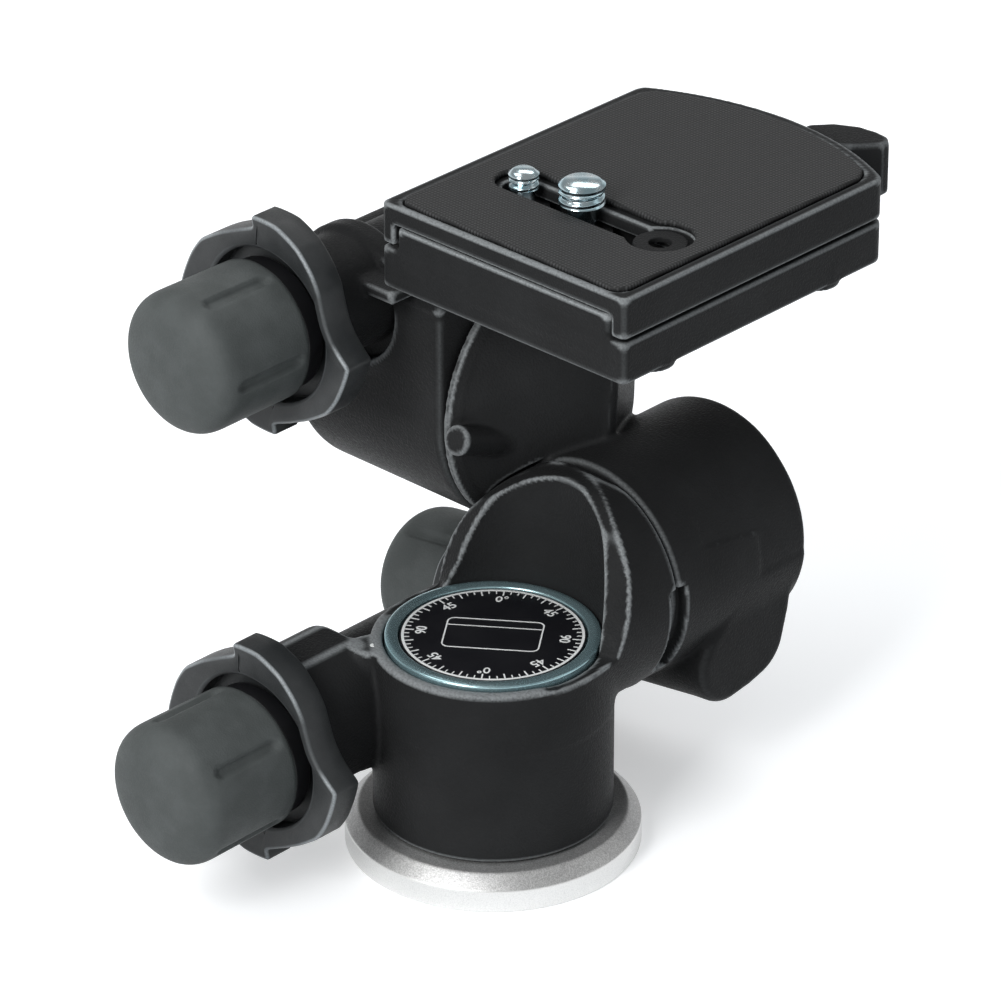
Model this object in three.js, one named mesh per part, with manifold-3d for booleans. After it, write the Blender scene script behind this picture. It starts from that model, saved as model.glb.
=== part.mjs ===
// Geared tripod head. Three worm-driven stages stand on one another: pan about the
// upright axis, tilt about a level axis, and roll about a level axis across that one.
// Each stage is turned by a rubber knob, and freed by a winged collar behind the knob.
// On top a receiver holds a quick-release plate with two captive camera screws.
// Lengths are millimetres. The origin is the centre of the base's underside, +Z is up,
// the pan and roll knobs point to -Y, and +X is to the right of them.

import * as THREE from 'three';
import { mergeVertices } from 'three/addons/utils/BufferGeometryUtils.js';
import { ConvexGeometry } from 'three/addons/geometries/ConvexGeometry.js';
import Module from 'manifold-3d';

const wasm = await Module();
wasm.setup();

// Clearances that every fit uses
const seatGap = 0.3;
const runGap = 0.35;
const partingGap = 0.6;
const overrun = 2;

// Points nearer than this are one point
const mergeDistance = 1e-4;

// Facets of round pieces, of curves in an outline, and of the springs' wire
const castSides = 40;
const roundSides = 20;
const smallSides = 12;
const curveSteps = 6;
const slotEndSteps = 8;
const wireSides = 5;
const coilSteps = 10;

// Base disc and its threaded insert
const baseRadius = 30;
const baseRimHeight = 4.9;
const baseTopRadius = 27.2;
const baseHeight = 7.6;
const insertRadius = 7;
const tripodThreadRadius = 4.76;
const insertHeight = 7;

// Upright body of the pan stage
const bodyLift = 0.4;
const bodyBottom = baseHeight + bodyLift;
const panWheelHeight = 29.1;
const bodyRadius = 24.4;
const rimHeight = 46;
const pocketRadius = 22;
const pocketDepth = 2;
const pocketFloor = rimHeight - pocketDepth;

// Dial in the pocket
const bezelInnerRadius = 18.9;
const bezelGap = 0.4;
const bezelRadius = pocketRadius - bezelGap;
const bezelProud = 0.9;
const bezelTop = rimHeight + bezelProud;
const bezelFloor = 1;
const dialGap = 0.4;
const dialFaceRadius = bezelInnerRadius - dialGap;
const dialSink = 0.6;
const dialFaceTop = bezelTop - dialSink;

// Lug on the body's side, at the rim, that carries the index dot
const lugRadius = 4.2;
const lugAngle = 230.8;
const lugDepth = 9;

// Tilt axis, level and along Y
const tiltHeight = 49.2;
const tiltRadius = 24.1;
const tiltPartingY = 28.2;
const tiltWheelY = 48;
const tiltEndY = 67.7;
const tiltEndChamfer = 1.6;
const fenceLip = 1.9;
// The fence's sides sweep down to the rim: back from the front and up from the rim
const fenceSweepShares = [
  { back: 0.25, up: 0 },
  { back: 0.35, up: 0.07 },
  { back: 0.42, up: 0.2 },
  { back: 0.49, up: 0.38 },
  { back: 0.6, up: 0.67 },
  { back: 0.76, up: 1.16 },
];
const fenceBand = 2.6;

// Roll axis, level and along X
const rollY = 40.8;
const rollRise = 29.5;
const rollHeight = tiltHeight + rollRise;
const rollPartingX = -24.7;
const rollWheelX = -50.7;
const rollEndX = -70;
const rollRadius = 29.5;
const rollTopRise = 26.8;
const rollTop = rollHeight + rollTopRise;
const rollEndRound = 8;
const rollEndSteps = 3;
const rollBack = 62.5;

// One worm drive, the same in all three stages
const wheelTeeth = 48;
const wormOffset = 23;
const wheelPitchRadius = 18;
const wheelTipRadius = 18.6;
const wheelRootRadius = 17;
const wheelWidth = 7;
const hubRadius = 10.5;
const wormTipRadius = 5.55;
const wormRootRadius = 3.95;
const wormLength = 14;
const threadRootShare = 0.5;
const spareThreads = 3;
const shaftRadius = 3;
const wormSides = 10;

// Axle, nut, washer and bush of a stage
const cavityRadius = 20.6;
const axleFlangeRadius = 13.8;
const axleFlangeInner = 14.8;
const axleRadius = 7;
const journalRadius = 4.5;
const spigotLength = 4;
const nutThickness = 4;
const nutRadius = 10.4;
const nutSides = 6;
const washerThickness = 1;
const washerRadius = 12;
const bushFlangeThickness = 2.2;
const bushRadius = 9;
const bushLength = 3;
const coverRingRadius = 20.2;
const coverRingThickness = 5.2;

// Worm bearing and the sleeve that the collar turns
const rearBushStart = 15.5;
const rearBushEnd = 9.8;
const rearBushRadius = 5;
const chamberRadius = 6.2;
const chamberEnd = 12.5;
const sleeveRadius = 8.7;
const sleeveFlangeRadius = 10.8;
const sleeveFlangeThickness = 1.2;

// Winged collar
const collarRadius = 23.6;
const collarThickness = 7;
const collarFloor = 2;
const collarRecessRadius = 16.4;
const collarSetback = 1.1;
const collarChamfer = 1.2;
const wingShares = [
  [100, 0.995], [84, 0.995], [68, 0.955], [54, 0.9], [43, 0.855], [34, 0.81], [22, 0.79],
  [12, 0.835], [5, 0.92], [0, 1], [-10, 0.975], [-22, 0.955], [-34, 0.935], [-50, 0.88],
  [-66, 0.865], [-76, 0.885], [-79, 0.905],
];

// Torsion spring behind the collar
const springWireRadius = 0.5;
const springRadius = 9.9;
const springTurns = 3;
const springPocketRadius = 10.8;
const springPocketDepth = 4;

// Knob: a hub on the shaft under a rubber grip
const gripBackRadius = 14.8;
const gripFrontRadius = 14.95;
const gripLength = 18.2;
const gripDome = 7;
const gripDomePower = 3.5;
const gripDomeSteps = 5;
const coreRadius = 11;
const coreFlangeRadius = 13.9;
const coreFlangeThickness = 3.9;
const coreLength = 17.5;
const shaftInCore = 14;
const grooveCount = 5;
const grooveWidth = 3.4;
const grooveDepth = 0.9;
const grooveStart = 3.2;

// Worm boss cast on each housing: a tube along the worm, then a drum up to the collar,
// which may be drawn out to an oval along the stage's axis
const bossGap = 0.4;
const bossRear = 16.5;
const bossEndRound = 1.5;
const panBoss = { tubeRadius: 13.3, drumStart: 20, drumRadius: 13.3, drumShift: 4.7 };
const tiltBoss = { tubeRadius: 9.2, drumStart: 10, drumRadius: 12.6, drumShift: 0 };
const rollBoss = { tubeRadius: 10.6, drumStart: 27, drumRadius: 12.1, drumShift: 0 };

// Distance from each wheel's centre to the back edge of its grip
const panReach = 46.6;
const tiltReach = 46.8;
const rollReach = 54.7;
const tiltWormSlope = 8.4;

// Angle of each winged collar about its worm at rest
const panCollarAngle = 180;
const tiltCollarAngle = 148;
const rollCollarAngle = -86;

// Oval end of the tilt worm boss: places from the tilt axis at the wheel, in tilt radii
const ovalShares = [
  { along: -0.041, up: -0.809, radius: 0.382 },
  { along: 0.261, up: -0.755, radius: 0.378 },
  { along: 0.394, up: -0.34, radius: 0.332 },
];
const ovalRound = 2.6;
const ovalEnd = 22.4;
const ovalStart = 6;

// Arm of the tilt casting that carries the roll stage
const armRingThickness = 3;
const armRadius = 27.4;
const armBack = 60.5;
const armLowWidth = 18.1;
const armLowDrop = 18.7;
const armHighWidth = 20.5;
const armHighRise = 15.3;
const armSweepGap = 0.5;

// Stop peg on the arm: how far its tip stands from the parting face and the roll axis
const pegRadius = 3.1;
const pegLength = 15;
const pegInset = 5.5;
const pegReach = 31.3;
const pegRise = 0.5;
const pegAngle = 20;

// Top flange of the roll casting with the lip on its front, and the pad round its worm boss
const flangeThickness = 5.4;
const flangeTop = rollTop + flangeThickness;
const flangeLeft = -44;
const flangeBack = 76;
const lipFront = 4.6;
const lipRight = -31.8;
const lipRise = 0.9;
const lipThickness = 2.6;
const padRadius = 15.5;
const padThickness = 3.4;
const padDrop = 2.4;

// Plan shared by the receiver and the quick-release plate
const plateMiddle = -1;
const plateHalfWidth = 32.3;
const plateFront = 3.2;
const plateSideEnd = 78.8;
const plateBack = 87.5;
const plateCorner = 1.5;

// Receiver
const receiverThickness = 8.7;
const receiverBottom = flangeTop + seatGap;
const receiverTop = receiverBottom + receiverThickness;
const islandRise = 4.9;
const islandTop = receiverTop + islandRise;
const islandInset = 4.1;
const islandFrontInset = 0.9;
const troughHalfWidth = 7.4;
const troughHalfLength = 26;
const footRadius = 4.8;
const footHeight = 1.4;
const footX = 26.2;
const footPlaces = [16.5, 65];

// Screws that hold the receiver to the roll casting
const receiverScrewX = -28.6;
const receiverScrewPlaces = [20, 62];
const receiverScrewRadius = 1.4;
const receiverScrewHeadRadius = 2.5;
const receiverScrewHead = 2.6;
const receiverScrewLength = 12;
const receiverScrewSink = 0.3;

// Quick-release plate and its pad
const skirtLift = 0.9;
const skirtBottom = receiverTop + skirtLift;
const slabLift = 0.5;
const slabBottom = islandTop + slabLift;
const slabThickness = 4.1;
const plateTop = slabBottom + slabThickness;
const skirtThickness = 3.5;
const padProud = 0.6;
const padTop = plateTop + padProud;
const padSheet = 1.2;
const padSideInset = 2.6;
const padFrontInset = 1.6;
const padBackInset = 2.4;
const padCorner = 3.2;
const slotY = 28.2;
const slotHalfWidth = 3.6;
const slotLeft = -19.2;
const slotRight = 17.8;
const recessRadius = 6.8;
const recessDepth = 2.3;
const recessFloor = plateTop - recessDepth;
const endWasherRadius = 5.4;
const endWasherHole = 2.25;
const endWasherThickness = 1.2;

// Captive camera screws: the wide one and the narrow one, whose rise is from the pad's top
const wideScrew = {
  name: 'large_camera_screw', x: -2.8, threadRadius: 4.76, startRise: 0.35, topRise: 5.2,
  neckRadius: 2.9, headRadius: 6.3, pitch: 1.59,
};
const narrowScrew = {
  name: 'small_camera_screw', x: -18.4, threadRadius: 3.17, startRise: -1.4, topRise: 2.6,
  neckRadius: 2.3, headRadius: 5.4, pitch: 1.27,
};
const padSlotHalfWidth = wideScrew.threadRadius + runGap;
const screwHeadLift = 0.6;
const screwHeadBottom = receiverTop + screwHeadLift;
const screwHeadThickness = 2.6;
const clipThickness = 1.1;
const clipLift = 0.35;
const threadDepth = 0.75;
const threadFlankShares = [0.125, 0.375, 0.625, 0.875];
const screwChamfer = 0.8;
const screwSlotWidth = 1.2;
const screwSlotDepth = 1;

// Lock lever behind the plate, on an ear of the receiver
const leverPivotX = -17;
const leverPivotSetback = 4.1;
const leverPivotY = plateBack + leverPivotSetback;
const leverBossRadius = 5.3;
const earRootRadius = 10.6;
const leverPinRadius = 2;
const earThickness = 3.4;
const earTop = receiverBottom + earThickness;
const leverBottom = earTop + partingGap;
const leverArmThickness = 5.8;
const leverArmTop = leverBottom + leverArmThickness;
const paddleRise = 3;
const paddleDrop = 3.2;
const pinHeadRadius = 3.4;
const pinHeadThickness = 1.2;
const leverSpringRadius = 3.9;
const leverSpringWire = 0.4;
const leverSpringTurns = 2;
const leverCounterbore = 4.7;
const leverCounterboreDepth = 3;
const leverReach = 30.4;
const leverArmShares = [
  [0, 0.174], [0.263, 0.164], [0.477, 0.243], [0.592, 0.112], [0.461, -0.036], [0.23, -0.099], [0, -0.174],
];
const paddleShares = [
  [0.421, 0.184], [0.539, 0.322], [0.701, 0.405], [0.839, 0.418], [0.941, 0.405], [0.997, 0.349],
  [1, 0.283], [0.855, 0.112], [0.658, 0.007], [0.461, -0.036],
];

// Finishes: colour, roughness, metalness
const finishes = {
  blackCasting: [0x1d1e20, 0.55, 0.1],
  blackPlastic: [0x2a2c2d, 0.7, 0],
  greyRubber: [0x4c5152, 0.85, 0],
  rawAluminium: [0xb9bcbd, 0.4, 0.9],
  polishedRing: [0x9fb4ba, 0.25, 0.9],
  dialBlack: [0x0d0e10, 0.4, 0],
  steel: [0xa9acae, 0.35, 0.9],
  zinc: [0xb8c4c6, 0.25, 0.95],
  bronze: [0xa77b3c, 0.4, 0.8],
  padRubber: [0x3a3b3c, 0.9, 0],
};

// Solids and joins

const degrees = (angle) => (angle * Math.PI) / 180;

// A closed solid from a geometry: vertices merged, flat triangles dropped, faces outward
function asSolid(geometry) {
  const bare = geometry.clone();
  bare.deleteAttribute('normal');
  bare.deleteAttribute('uv');
  const merged = mergeVertices(bare, mergeDistance);
  const corner = merged.getAttribute('position').array;
  const index = merged.getIndex().array;
  const kept = [];
  let volume = 0;
  for (let i = 0; i < index.length; i += 3) {
    const [a, b, c] = [index[i], index[i + 1], index[i + 2]];
    if (a === b || b === c || a === c) continue;
    kept.push(a, b, c);
    const u = new THREE.Vector3().fromArray(corner, a * 3);
    const v = new THREE.Vector3().fromArray(corner, b * 3);
    const w = new THREE.Vector3().fromArray(corner, c * 3);
    volume += u.dot(v.cross(w));
  }
  if (volume < 0) {
    for (let i = 0; i < kept.length; i += 3) [kept[i], kept[i + 1]] = [kept[i + 1], kept[i]];
  }
  return new wasm.Manifold(new wasm.Mesh({
    numProp: 3,
    vertProperties: new Float32Array(corner),
    triVerts: new Uint32Array(kept),
  }));
}

const join = (first, ...others) => others.reduce((sum, next) => sum.add(next), first);
const cut = (first, ...others) => others.reduce((sum, next) => sum.subtract(next), first);

// A named mesh from a finished solid
function piece(name, solid, finish) {
  const { vertProperties, triVerts, numProp } = solid.getMesh();
  const geometry = new THREE.BufferGeometry();
  const position = new Float32Array((vertProperties.length / numProp) * 3);
  for (let i = 0; i < position.length / 3; i += 1) {
    for (let k = 0; k < 3; k += 1) position[3 * i + k] = vertProperties[numProp * i + k];
  }
  geometry.setAttribute('position', new THREE.BufferAttribute(position, 3));
  geometry.setIndex(new THREE.BufferAttribute(new Uint32Array(triVerts), 1));
  const [color, roughness, metalness] = finish;
  const mesh = new THREE.Mesh(geometry, new THREE.MeshStandardMaterial({ color, roughness, metalness }));
  mesh.name = name;
  return mesh;
}

// A turned solid: [radius, place along the axis] points, about the x, y or z axis
function turned(axis, profile, at = [0, 0, 0], sides = roundSides) {
  const points = profile.map(([radius, along]) => new THREE.Vector2(radius, along));
  const shape = new THREE.LatheGeometry(points, sides);
  if (axis === 'z') shape.rotateX(Math.PI / 2);
  if (axis === 'x') shape.rotateZ(-Math.PI / 2);
  return shape.translate(...at);
}

// A round bar between two places on its axis, and a ring with a bore
const bar = (axis, radius, from, to, at, sides) => turned(
  axis,
  [[0, from], [radius, from], [radius, to], [0, to]],
  at,
  sides,
);
const ring = (axis, inner, outer, from, to, at, sides) => turned(
  axis,
  [[inner, from], [outer, from], [outer, to], [inner, to], [inner, from]],
  at,
  sides,
);

// A block between two corners
function block(low, high) {
  const size = high.map((value, i) => value - low[i]);
  const middle = high.map((value, i) => (value + low[i]) / 2);
  return new THREE.BoxGeometry(...size).translate(...middle);
}

// An outline in X and Y raised from one height to another
function raised(shape, bottom, top, curveSegments = curveSteps) {
  const geometry = new THREE.ExtrudeGeometry(shape, {
    depth: top - bottom, bevelEnabled: false, curveSegments,
  });
  return geometry.translate(0, 0, bottom);
}

// Points of a circle whose plane is square to the x, y or z axis
function circlePoints(axis, centre, radius, sides = roundSides) {
  const points = [];
  for (let i = 0; i < sides; i += 1) {
    const angle = (2 * Math.PI * i) / sides;
    const [u, v] = [radius * Math.cos(angle), radius * Math.sin(angle)];
    const offset = { x: [0, u, v], y: [u, 0, v], z: [u, v, 0] }[axis];
    points.push(new THREE.Vector3(...centre.map((value, k) => value + offset[k])));
  }
  return points;
}

const hull = (...sets) => new ConvexGeometry(sets.flat());

// A coil of round wire about the y axis, its ends square
function coil(radius, wire, turns, from, to, at) {
  const steps = coilSteps * turns;
  const places = [];
  for (let i = 0; i <= steps; i += 1) {
    const angle = (2 * Math.PI * turns * i) / steps;
    const along = from + wire + ((to - from - 2 * wire) * i) / steps;
    places.push(new THREE.Vector3(radius * Math.cos(angle), along, radius * Math.sin(angle)));
  }
  const section = new THREE.Shape();
  for (let i = 0; i < wireSides; i += 1) {
    const angle = (2 * Math.PI * i) / wireSides;
    const [u, v] = [wire * Math.cos(angle), wire * Math.sin(angle)];
    if (i === 0) section.moveTo(u, v);
    else section.lineTo(u, v);
  }
  const path = new THREE.CatmullRomCurve3(places);
  return new THREE.ExtrudeGeometry(section, { steps, extrudePath: path, bevelEnabled: false })
    .translate(...at);
}

// Stages. In a stage's own frame the wheel's centre is the origin, z is the stage's axis,
// the worm runs along y at x = wormOffset, and its knob is at +y. out is +1 or -1: the
// side along z on which the part below carries the stage's axle. seat is how far out.

function stageFrame(offset, knob, centre) {
  const axis = new THREE.Vector3().crossVectors(offset, knob);
  return new THREE.Matrix4().makeBasis(offset, knob, axis).setPosition(...centre);
}

const slope = degrees(tiltWormSlope);
const stages = {
  pan: {
    name: 'pan',
    frame: stageFrame(new THREE.Vector3(-1, 0, 0), new THREE.Vector3(0, -1, 0), [0, 0, panWheelHeight]),
    out: -1,
    seat: panWheelHeight - baseHeight,
    spigot: 0,
    reach: panReach,
    boss: panBoss,
    collarAngle: panCollarAngle,
    wingSide: -1,
  },
  tilt: {
    name: 'tilt',
    frame: stageFrame(
      new THREE.Vector3(Math.sin(slope), 0, -Math.cos(slope)),
      new THREE.Vector3(-Math.cos(slope), 0, -Math.sin(slope)),
      [0, tiltWheelY, tiltHeight],
    ),
    out: -1,
    seat: tiltWheelY - tiltPartingY,
    spigot: spigotLength,
    reach: tiltReach,
    boss: tiltBoss,
    collarAngle: tiltCollarAngle,
    wingSide: 1,
  },
  roll: {
    name: 'roll',
    frame: stageFrame(
      new THREE.Vector3(0, 0, 1),
      new THREE.Vector3(0, -1, 0),
      [rollWheelX, rollY, rollHeight],
    ),
    out: 1,
    seat: rollPartingX - rollWheelX,
    spigot: spigotLength,
    reach: rollReach,
    boss: rollBoss,
    collarAngle: rollCollarAngle,
    wingSide: -1,
  },
};

// Axle fixed to the part below: flange, shank for the wheel and nut, journal for the bush
const bushFrom = wheelWidth / 2 + seatGap + nutThickness + seatGap + washerThickness + seatGap;
const floorFrom = bushFrom + bushFlangeThickness + seatGap;
const floorTo = floorFrom + bushLength;

function axle({ out, seat, spigot }) {
  const shankEnd = bushFrom - seatGap / 2;
  const face = seat - seatGap;
  const outer = spigot > 0 ? [[0, seat + spigot - seatGap], [axleRadius, seat + spigot - seatGap],
    [axleRadius, face]] : [[0, face]];
  const profile = [
    ...outer,
    [axleFlangeRadius, face],
    [axleFlangeRadius, axleFlangeInner],
    [axleRadius, axleFlangeInner],
    [axleRadius, -shankEnd],
    [journalRadius, -shankEnd],
    [journalRadius, -floorTo],
    [0, -floorTo],
  ];
  return asSolid(turned('z', profile.map(([radius, along]) => [radius, out * along])));
}

// Worm wheel: straight V teeth on a rim, with a hub that stands on the axle's flange
function wheel({ out }) {
  const outline = new THREE.Shape();
  const pitch = (2 * Math.PI) / wheelTeeth;
  for (let i = 0; i < wheelTeeth; i += 1) {
    [[wheelRootRadius, i], [wheelTipRadius, i + 0.5]].forEach(([radius, place]) => {
      const angle = place * pitch;
      const [x, y] = [radius * Math.cos(angle), radius * Math.sin(angle)];
      if (place === 0) outline.moveTo(x, y);
      else outline.lineTo(x, y);
    });
  }
  const rim = asSolid(raised(outline, -wheelWidth / 2, wheelWidth / 2));
  const hub = asSolid(bar('z', hubRadius, 0, out * (axleFlangeInner - seatGap)));
  const boreEnd = axleFlangeInner + overrun;
  return cut(join(rim, hub), asSolid(bar('z', axleRadius + seatGap, -boreEnd, boreEnd)));
}

function wheelNut({ out }) {
  const from = -out * (wheelWidth / 2 + seatGap);
  const to = from - out * nutThickness;
  const bore = bar('z', axleRadius + seatGap, from + out * overrun, to - out * overrun);
  return cut(asSolid(bar('z', nutRadius, from, to, [0, 0, 0], nutSides)), asSolid(bore));
}

function thrustWasher({ out }) {
  const to = -out * (bushFrom - seatGap);
  const from = to + out * washerThickness;
  return asSolid(ring('z', axleRadius + seatGap, washerRadius, from, to));
}

// Flanged bush pressed into the floor of the turning housing
function endBush({ out }) {
  const inner = journalRadius + seatGap;
  const shoulder = bushFrom + bushFlangeThickness;
  const profile = [
    [inner, bushFrom], [washerRadius, bushFrom], [washerRadius, shoulder], [bushRadius, shoulder],
    [bushRadius, floorTo - seatGap], [inner, floorTo - seatGap], [inner, bushFrom],
  ];
  return asSolid(turned('z', profile.map(([radius, along]) => [radius, -out * along])));
}

// Ring that closes the turning housing round the axle's flange
function coverRing({ out, seat }) {
  const face = seat - partingGap - seatGap;
  return asSolid(ring(
    'z',
    axleFlangeRadius + seatGap,
    coverRingRadius,
    out * face,
    out * (face - coverRingThickness),
  ));
}

const wormAt = [wormOffset, 0, 0];
const lead = (2 * Math.PI * wheelPitchRadius) / wheelTeeth;

// Worm and shaft in one: a right-hand thread trimmed to the worm's length, on a plain shaft.
// The thread's crest faces the wheel's centre line at y = 0, in a gap between two teeth.
function wormShaft({ reach }) {
  const rows = [];
  const turns = Math.ceil(wormLength / lead) + spareThreads;
  for (let i = 0; i < turns; i += 1) {
    const crest = (i - (turns - 1) / 2) * lead;
    rows.push(
      [wormRootRadius, crest - (threadRootShare * lead) / 2],
      [wormTipRadius, crest],
      [wormRootRadius, crest + (threadRootShare * lead) / 2],
    );
  }
  const position = [];
  const index = [];
  rows.forEach(([radius, along]) => {
    for (let k = 0; k < wormSides; k += 1) {
      const turn = (2 * Math.PI * k) / wormSides;
      const angle = Math.PI + turn;
      const y = along + (lead * turn) / (2 * Math.PI);
      position.push(radius * Math.cos(angle), y, -radius * Math.sin(angle));
    }
  });
  // Going once round joins a row to the one three rows on, which is one lead further
  const rowStep = 3;
  const vertex = (row, k) => {
    const wrapped = k >= wormSides;
    return (row + (wrapped ? rowStep : 0)) * wormSides + (wrapped ? k - wormSides : k);
  };
  const lastRow = rows.length - 1;
  for (let row = 0; row < lastRow - rowStep; row += 1) {
    for (let k = 0; k < wormSides; k += 1) {
      const [a, b, c, d] = [vertex(row, k), vertex(row, k + 1), vertex(row + 1, k + 1), vertex(row + 1, k)];
      index.push(a, b, c, a, c, d);
    }
  }
  // The open ends are spiral edges: each is closed by a fan to a point on the axis
  const edge = (row) => {
    const list = [];
    for (let k = 0; k <= wormSides; k += 1) list.push(vertex(row, k));
    for (let r = row + rowStep; r > row; r -= 1) list.push(vertex(r, 0));
    return list.filter((value, i) => i === 0 || value !== list[i - 1]);
  };
  [[0, 1], [lastRow - rowStep, -1]].forEach(([row, side]) => {
    const list = edge(row);
    const along = rows[row][1] + (side > 0 ? -lead : lead + lead);
    position.push(0, along, 0);
    const tip = position.length / 3 - 1;
    for (let i = 0; i < list.length; i += 1) {
      const [a, b] = [list[i], list[(i + 1) % list.length]];
      if (a === b) continue;
      if (side > 0) index.push(b, a, tip);
      else index.push(a, b, tip);
    }
  });
  const thread = new THREE.BufferGeometry();
  thread.setAttribute('position', new THREE.Float32BufferAttribute(position, 3));
  thread.setIndex(index);
  const blank = asSolid(turned('y', [
    [0, -wormLength / 2],
    [wormRootRadius, -wormLength / 2],
    [wormTipRadius + overrun, lead - wormLength / 2],
    [wormTipRadius + overrun, wormLength / 2 - lead],
    [wormRootRadius, wormLength / 2],
    [0, wormLength / 2],
  ], [0, 0, 0], wormSides));
  const worm = asSolid(thread).intersect(blank);
  const shaft = asSolid(bar('y', shaftRadius, -rearBushStart, reach + shaftInCore, [0, 0, 0], wormSides));
  return join(worm, shaft);
}

function rearBush() {
  return asSolid(ring(
    'y',
    shaftRadius + runGap,
    rearBushRadius,
    -rearBushStart,
    -rearBushEnd,
    wormAt,
    smallSides,
  ));
}

// Tube round the shaft that the collar turns to lift the worm out of mesh
function wormSleeve({ reach }) {
  const collarBack = reach - collarSetback - collarThickness;
  const flangeFrom = collarBack + collarFloor + seatGap;
  const flangeTo = flangeFrom + sleeveFlangeThickness;
  const inner = shaftRadius + runGap;
  return asSolid(turned('y', [
    [inner, chamberEnd + seatGap], [sleeveRadius, chamberEnd + seatGap], [sleeveRadius, flangeFrom],
    [sleeveFlangeRadius, flangeFrom], [sleeveFlangeRadius, flangeTo], [inner, flangeTo],
    [inner, chamberEnd + seatGap],
  ], wormAt));
}

// Winged collar: two wings a half turn apart, each with a finger rest that ends in a point
function wingedCollar({ reach, collarAngle, wingSide }) {
  const outline = new THREE.Shape();
  [0, 180].forEach((half, h) => {
    wingShares.forEach(([angle, share], i) => {
      const turn = degrees(wingSide * (angle + half) + collarAngle);
      const [x, z] = [collarRadius * share * Math.cos(turn), collarRadius * share * Math.sin(turn)];
      if (h === 0 && i === 0) outline.moveTo(x, -z);
      else outline.lineTo(x, -z);
    });
  });
  const front = reach - collarSetback;
  const back = front - collarThickness;
  // Raised along z with its edges chamfered, then laid over so that z becomes y
  const plate = new THREE.ExtrudeGeometry(outline, {
    depth: collarThickness - 2 * collarChamfer,
    bevelThickness: collarChamfer,
    bevelSize: collarChamfer,
    bevelOffset: -collarChamfer,
    bevelSegments: 1,
  });
  plate.translate(0, 0, back + collarChamfer).rotateX(-Math.PI / 2).translate(...wormAt);
  const recess = bar('y', collarRecessRadius, back + collarFloor, front + overrun, wormAt, castSides);
  const hole = bar('y', sleeveRadius + seatGap, back - overrun, front, wormAt);
  return cut(asSolid(plate), asSolid(recess), asSolid(hole));
}

function collarSpring({ reach }) {
  const front = reach - collarSetback - collarThickness - bossGap;
  const floor = front - springPocketDepth;
  return asSolid(coil(springRadius, springWireRadius, springTurns, floor + seatGap, front, wormAt));
}

// Hub on the shaft: a flange behind the rubber and a blind bore for the shaft's end
function knobCore({ reach }) {
  const back = reach - seatGap - coreFlangeThickness;
  const inner = shaftRadius + seatGap;
  return asSolid(turned('y', [
    [inner, back], [coreFlangeRadius, back], [coreFlangeRadius, reach - seatGap],
    [coreRadius, reach - seatGap], [coreRadius, reach + coreLength], [0, reach + coreLength],
    [0, reach + shaftInCore + seatGap], [inner, reach + shaftInCore + seatGap], [inner, back],
  ], wormAt));
}

// Rubber grip: a cup with a domed end and shallow grooves along its side
function knobGrip({ reach, collarAngle }) {
  const inner = coreRadius + seatGap;
  const floor = coreLength + seatGap;
  const profile = [
    [0, floor], [inner, floor], [inner, 0], [gripBackRadius, 0], [gripFrontRadius, gripLength],
  ];
  for (let i = 1; i <= gripDomeSteps; i += 1) {
    const share = Math.sin((Math.PI / 2) * (i / gripDomeSteps));
    const rest = (1 - share ** gripDomePower) ** (1 / gripDomePower);
    profile.push([i === gripDomeSteps ? 0 : gripFrontRadius * rest, gripLength + gripDome * share]);
  }
  const place = [wormAt[0], reach, wormAt[2]];
  let grip = asSolid(turned('y', profile, place, castSides / 2));
  for (let i = 0; i < grooveCount; i += 1) {
    const groove = block(
      [-grooveWidth / 2, grooveStart, gripBackRadius - grooveDepth],
      [grooveWidth / 2, gripLength + gripDome / 2, gripBackRadius + overrun],
    );
    groove.rotateY((2 * Math.PI * i) / grooveCount + degrees(collarAngle)).translate(...place);
    grip = cut(grip, asSolid(groove));
  }
  return grip;
}

// Hollows that a stage needs in its turning housing
function stageHollows({ frame, out, seat, reach }) {
  const inFrame = (geometry) => asSolid(geometry.applyMatrix4(frame));
  const bossFace = reach - collarSetback - collarThickness - bossGap;
  return [
    inFrame(bar('z', cavityRadius, out * (seat + overrun), -out * floorFrom, [0, 0, 0], castSides)),
    inFrame(bar('z', bushRadius + seatGap, -out * (floorFrom - overrun), -out * floorTo)),
    inFrame(bar('y', chamberRadius, -rearBushEnd + seatGap, chamberEnd + overrun, wormAt, smallSides)),
    inFrame(bar('y', rearBushRadius + seatGap, -rearBushStart - seatGap, 0, wormAt, smallSides)),
    inFrame(bar('y', sleeveRadius + seatGap, chamberEnd, bossFace + overrun, wormAt)),
    inFrame(bar('y', springPocketRadius, bossFace - springPocketDepth, bossFace + overrun, wormAt)),
  ];
}

// Worm boss: a round tube along the worm, with a drum towards the collar
function wormBoss({ frame, out, reach, boss }) {
  const inFrame = (geometry) => asSolid(geometry.applyMatrix4(frame));
  const { tubeRadius, drumStart, drumRadius, drumShift } = boss;
  const bossFace = reach - collarSetback - collarThickness - bossGap;
  const drum = (from, radius) => [
    ...circlePoints('y', [wormOffset, from, 0], radius),
    ...circlePoints('y', [wormOffset, from, -out * drumShift], radius),
  ];
  return join(
    inFrame(bar('y', tubeRadius, -bossRear, drumStart + overrun, wormAt)),
    inFrame(hull(
      drum(drumStart, drumRadius - bossEndRound),
      drum(drumStart + bossEndRound, drumRadius),
      drum(bossFace - bossEndRound, drumRadius),
      drum(bossFace, drumRadius - bossEndRound / 2),
    )),
  );
}

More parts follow.
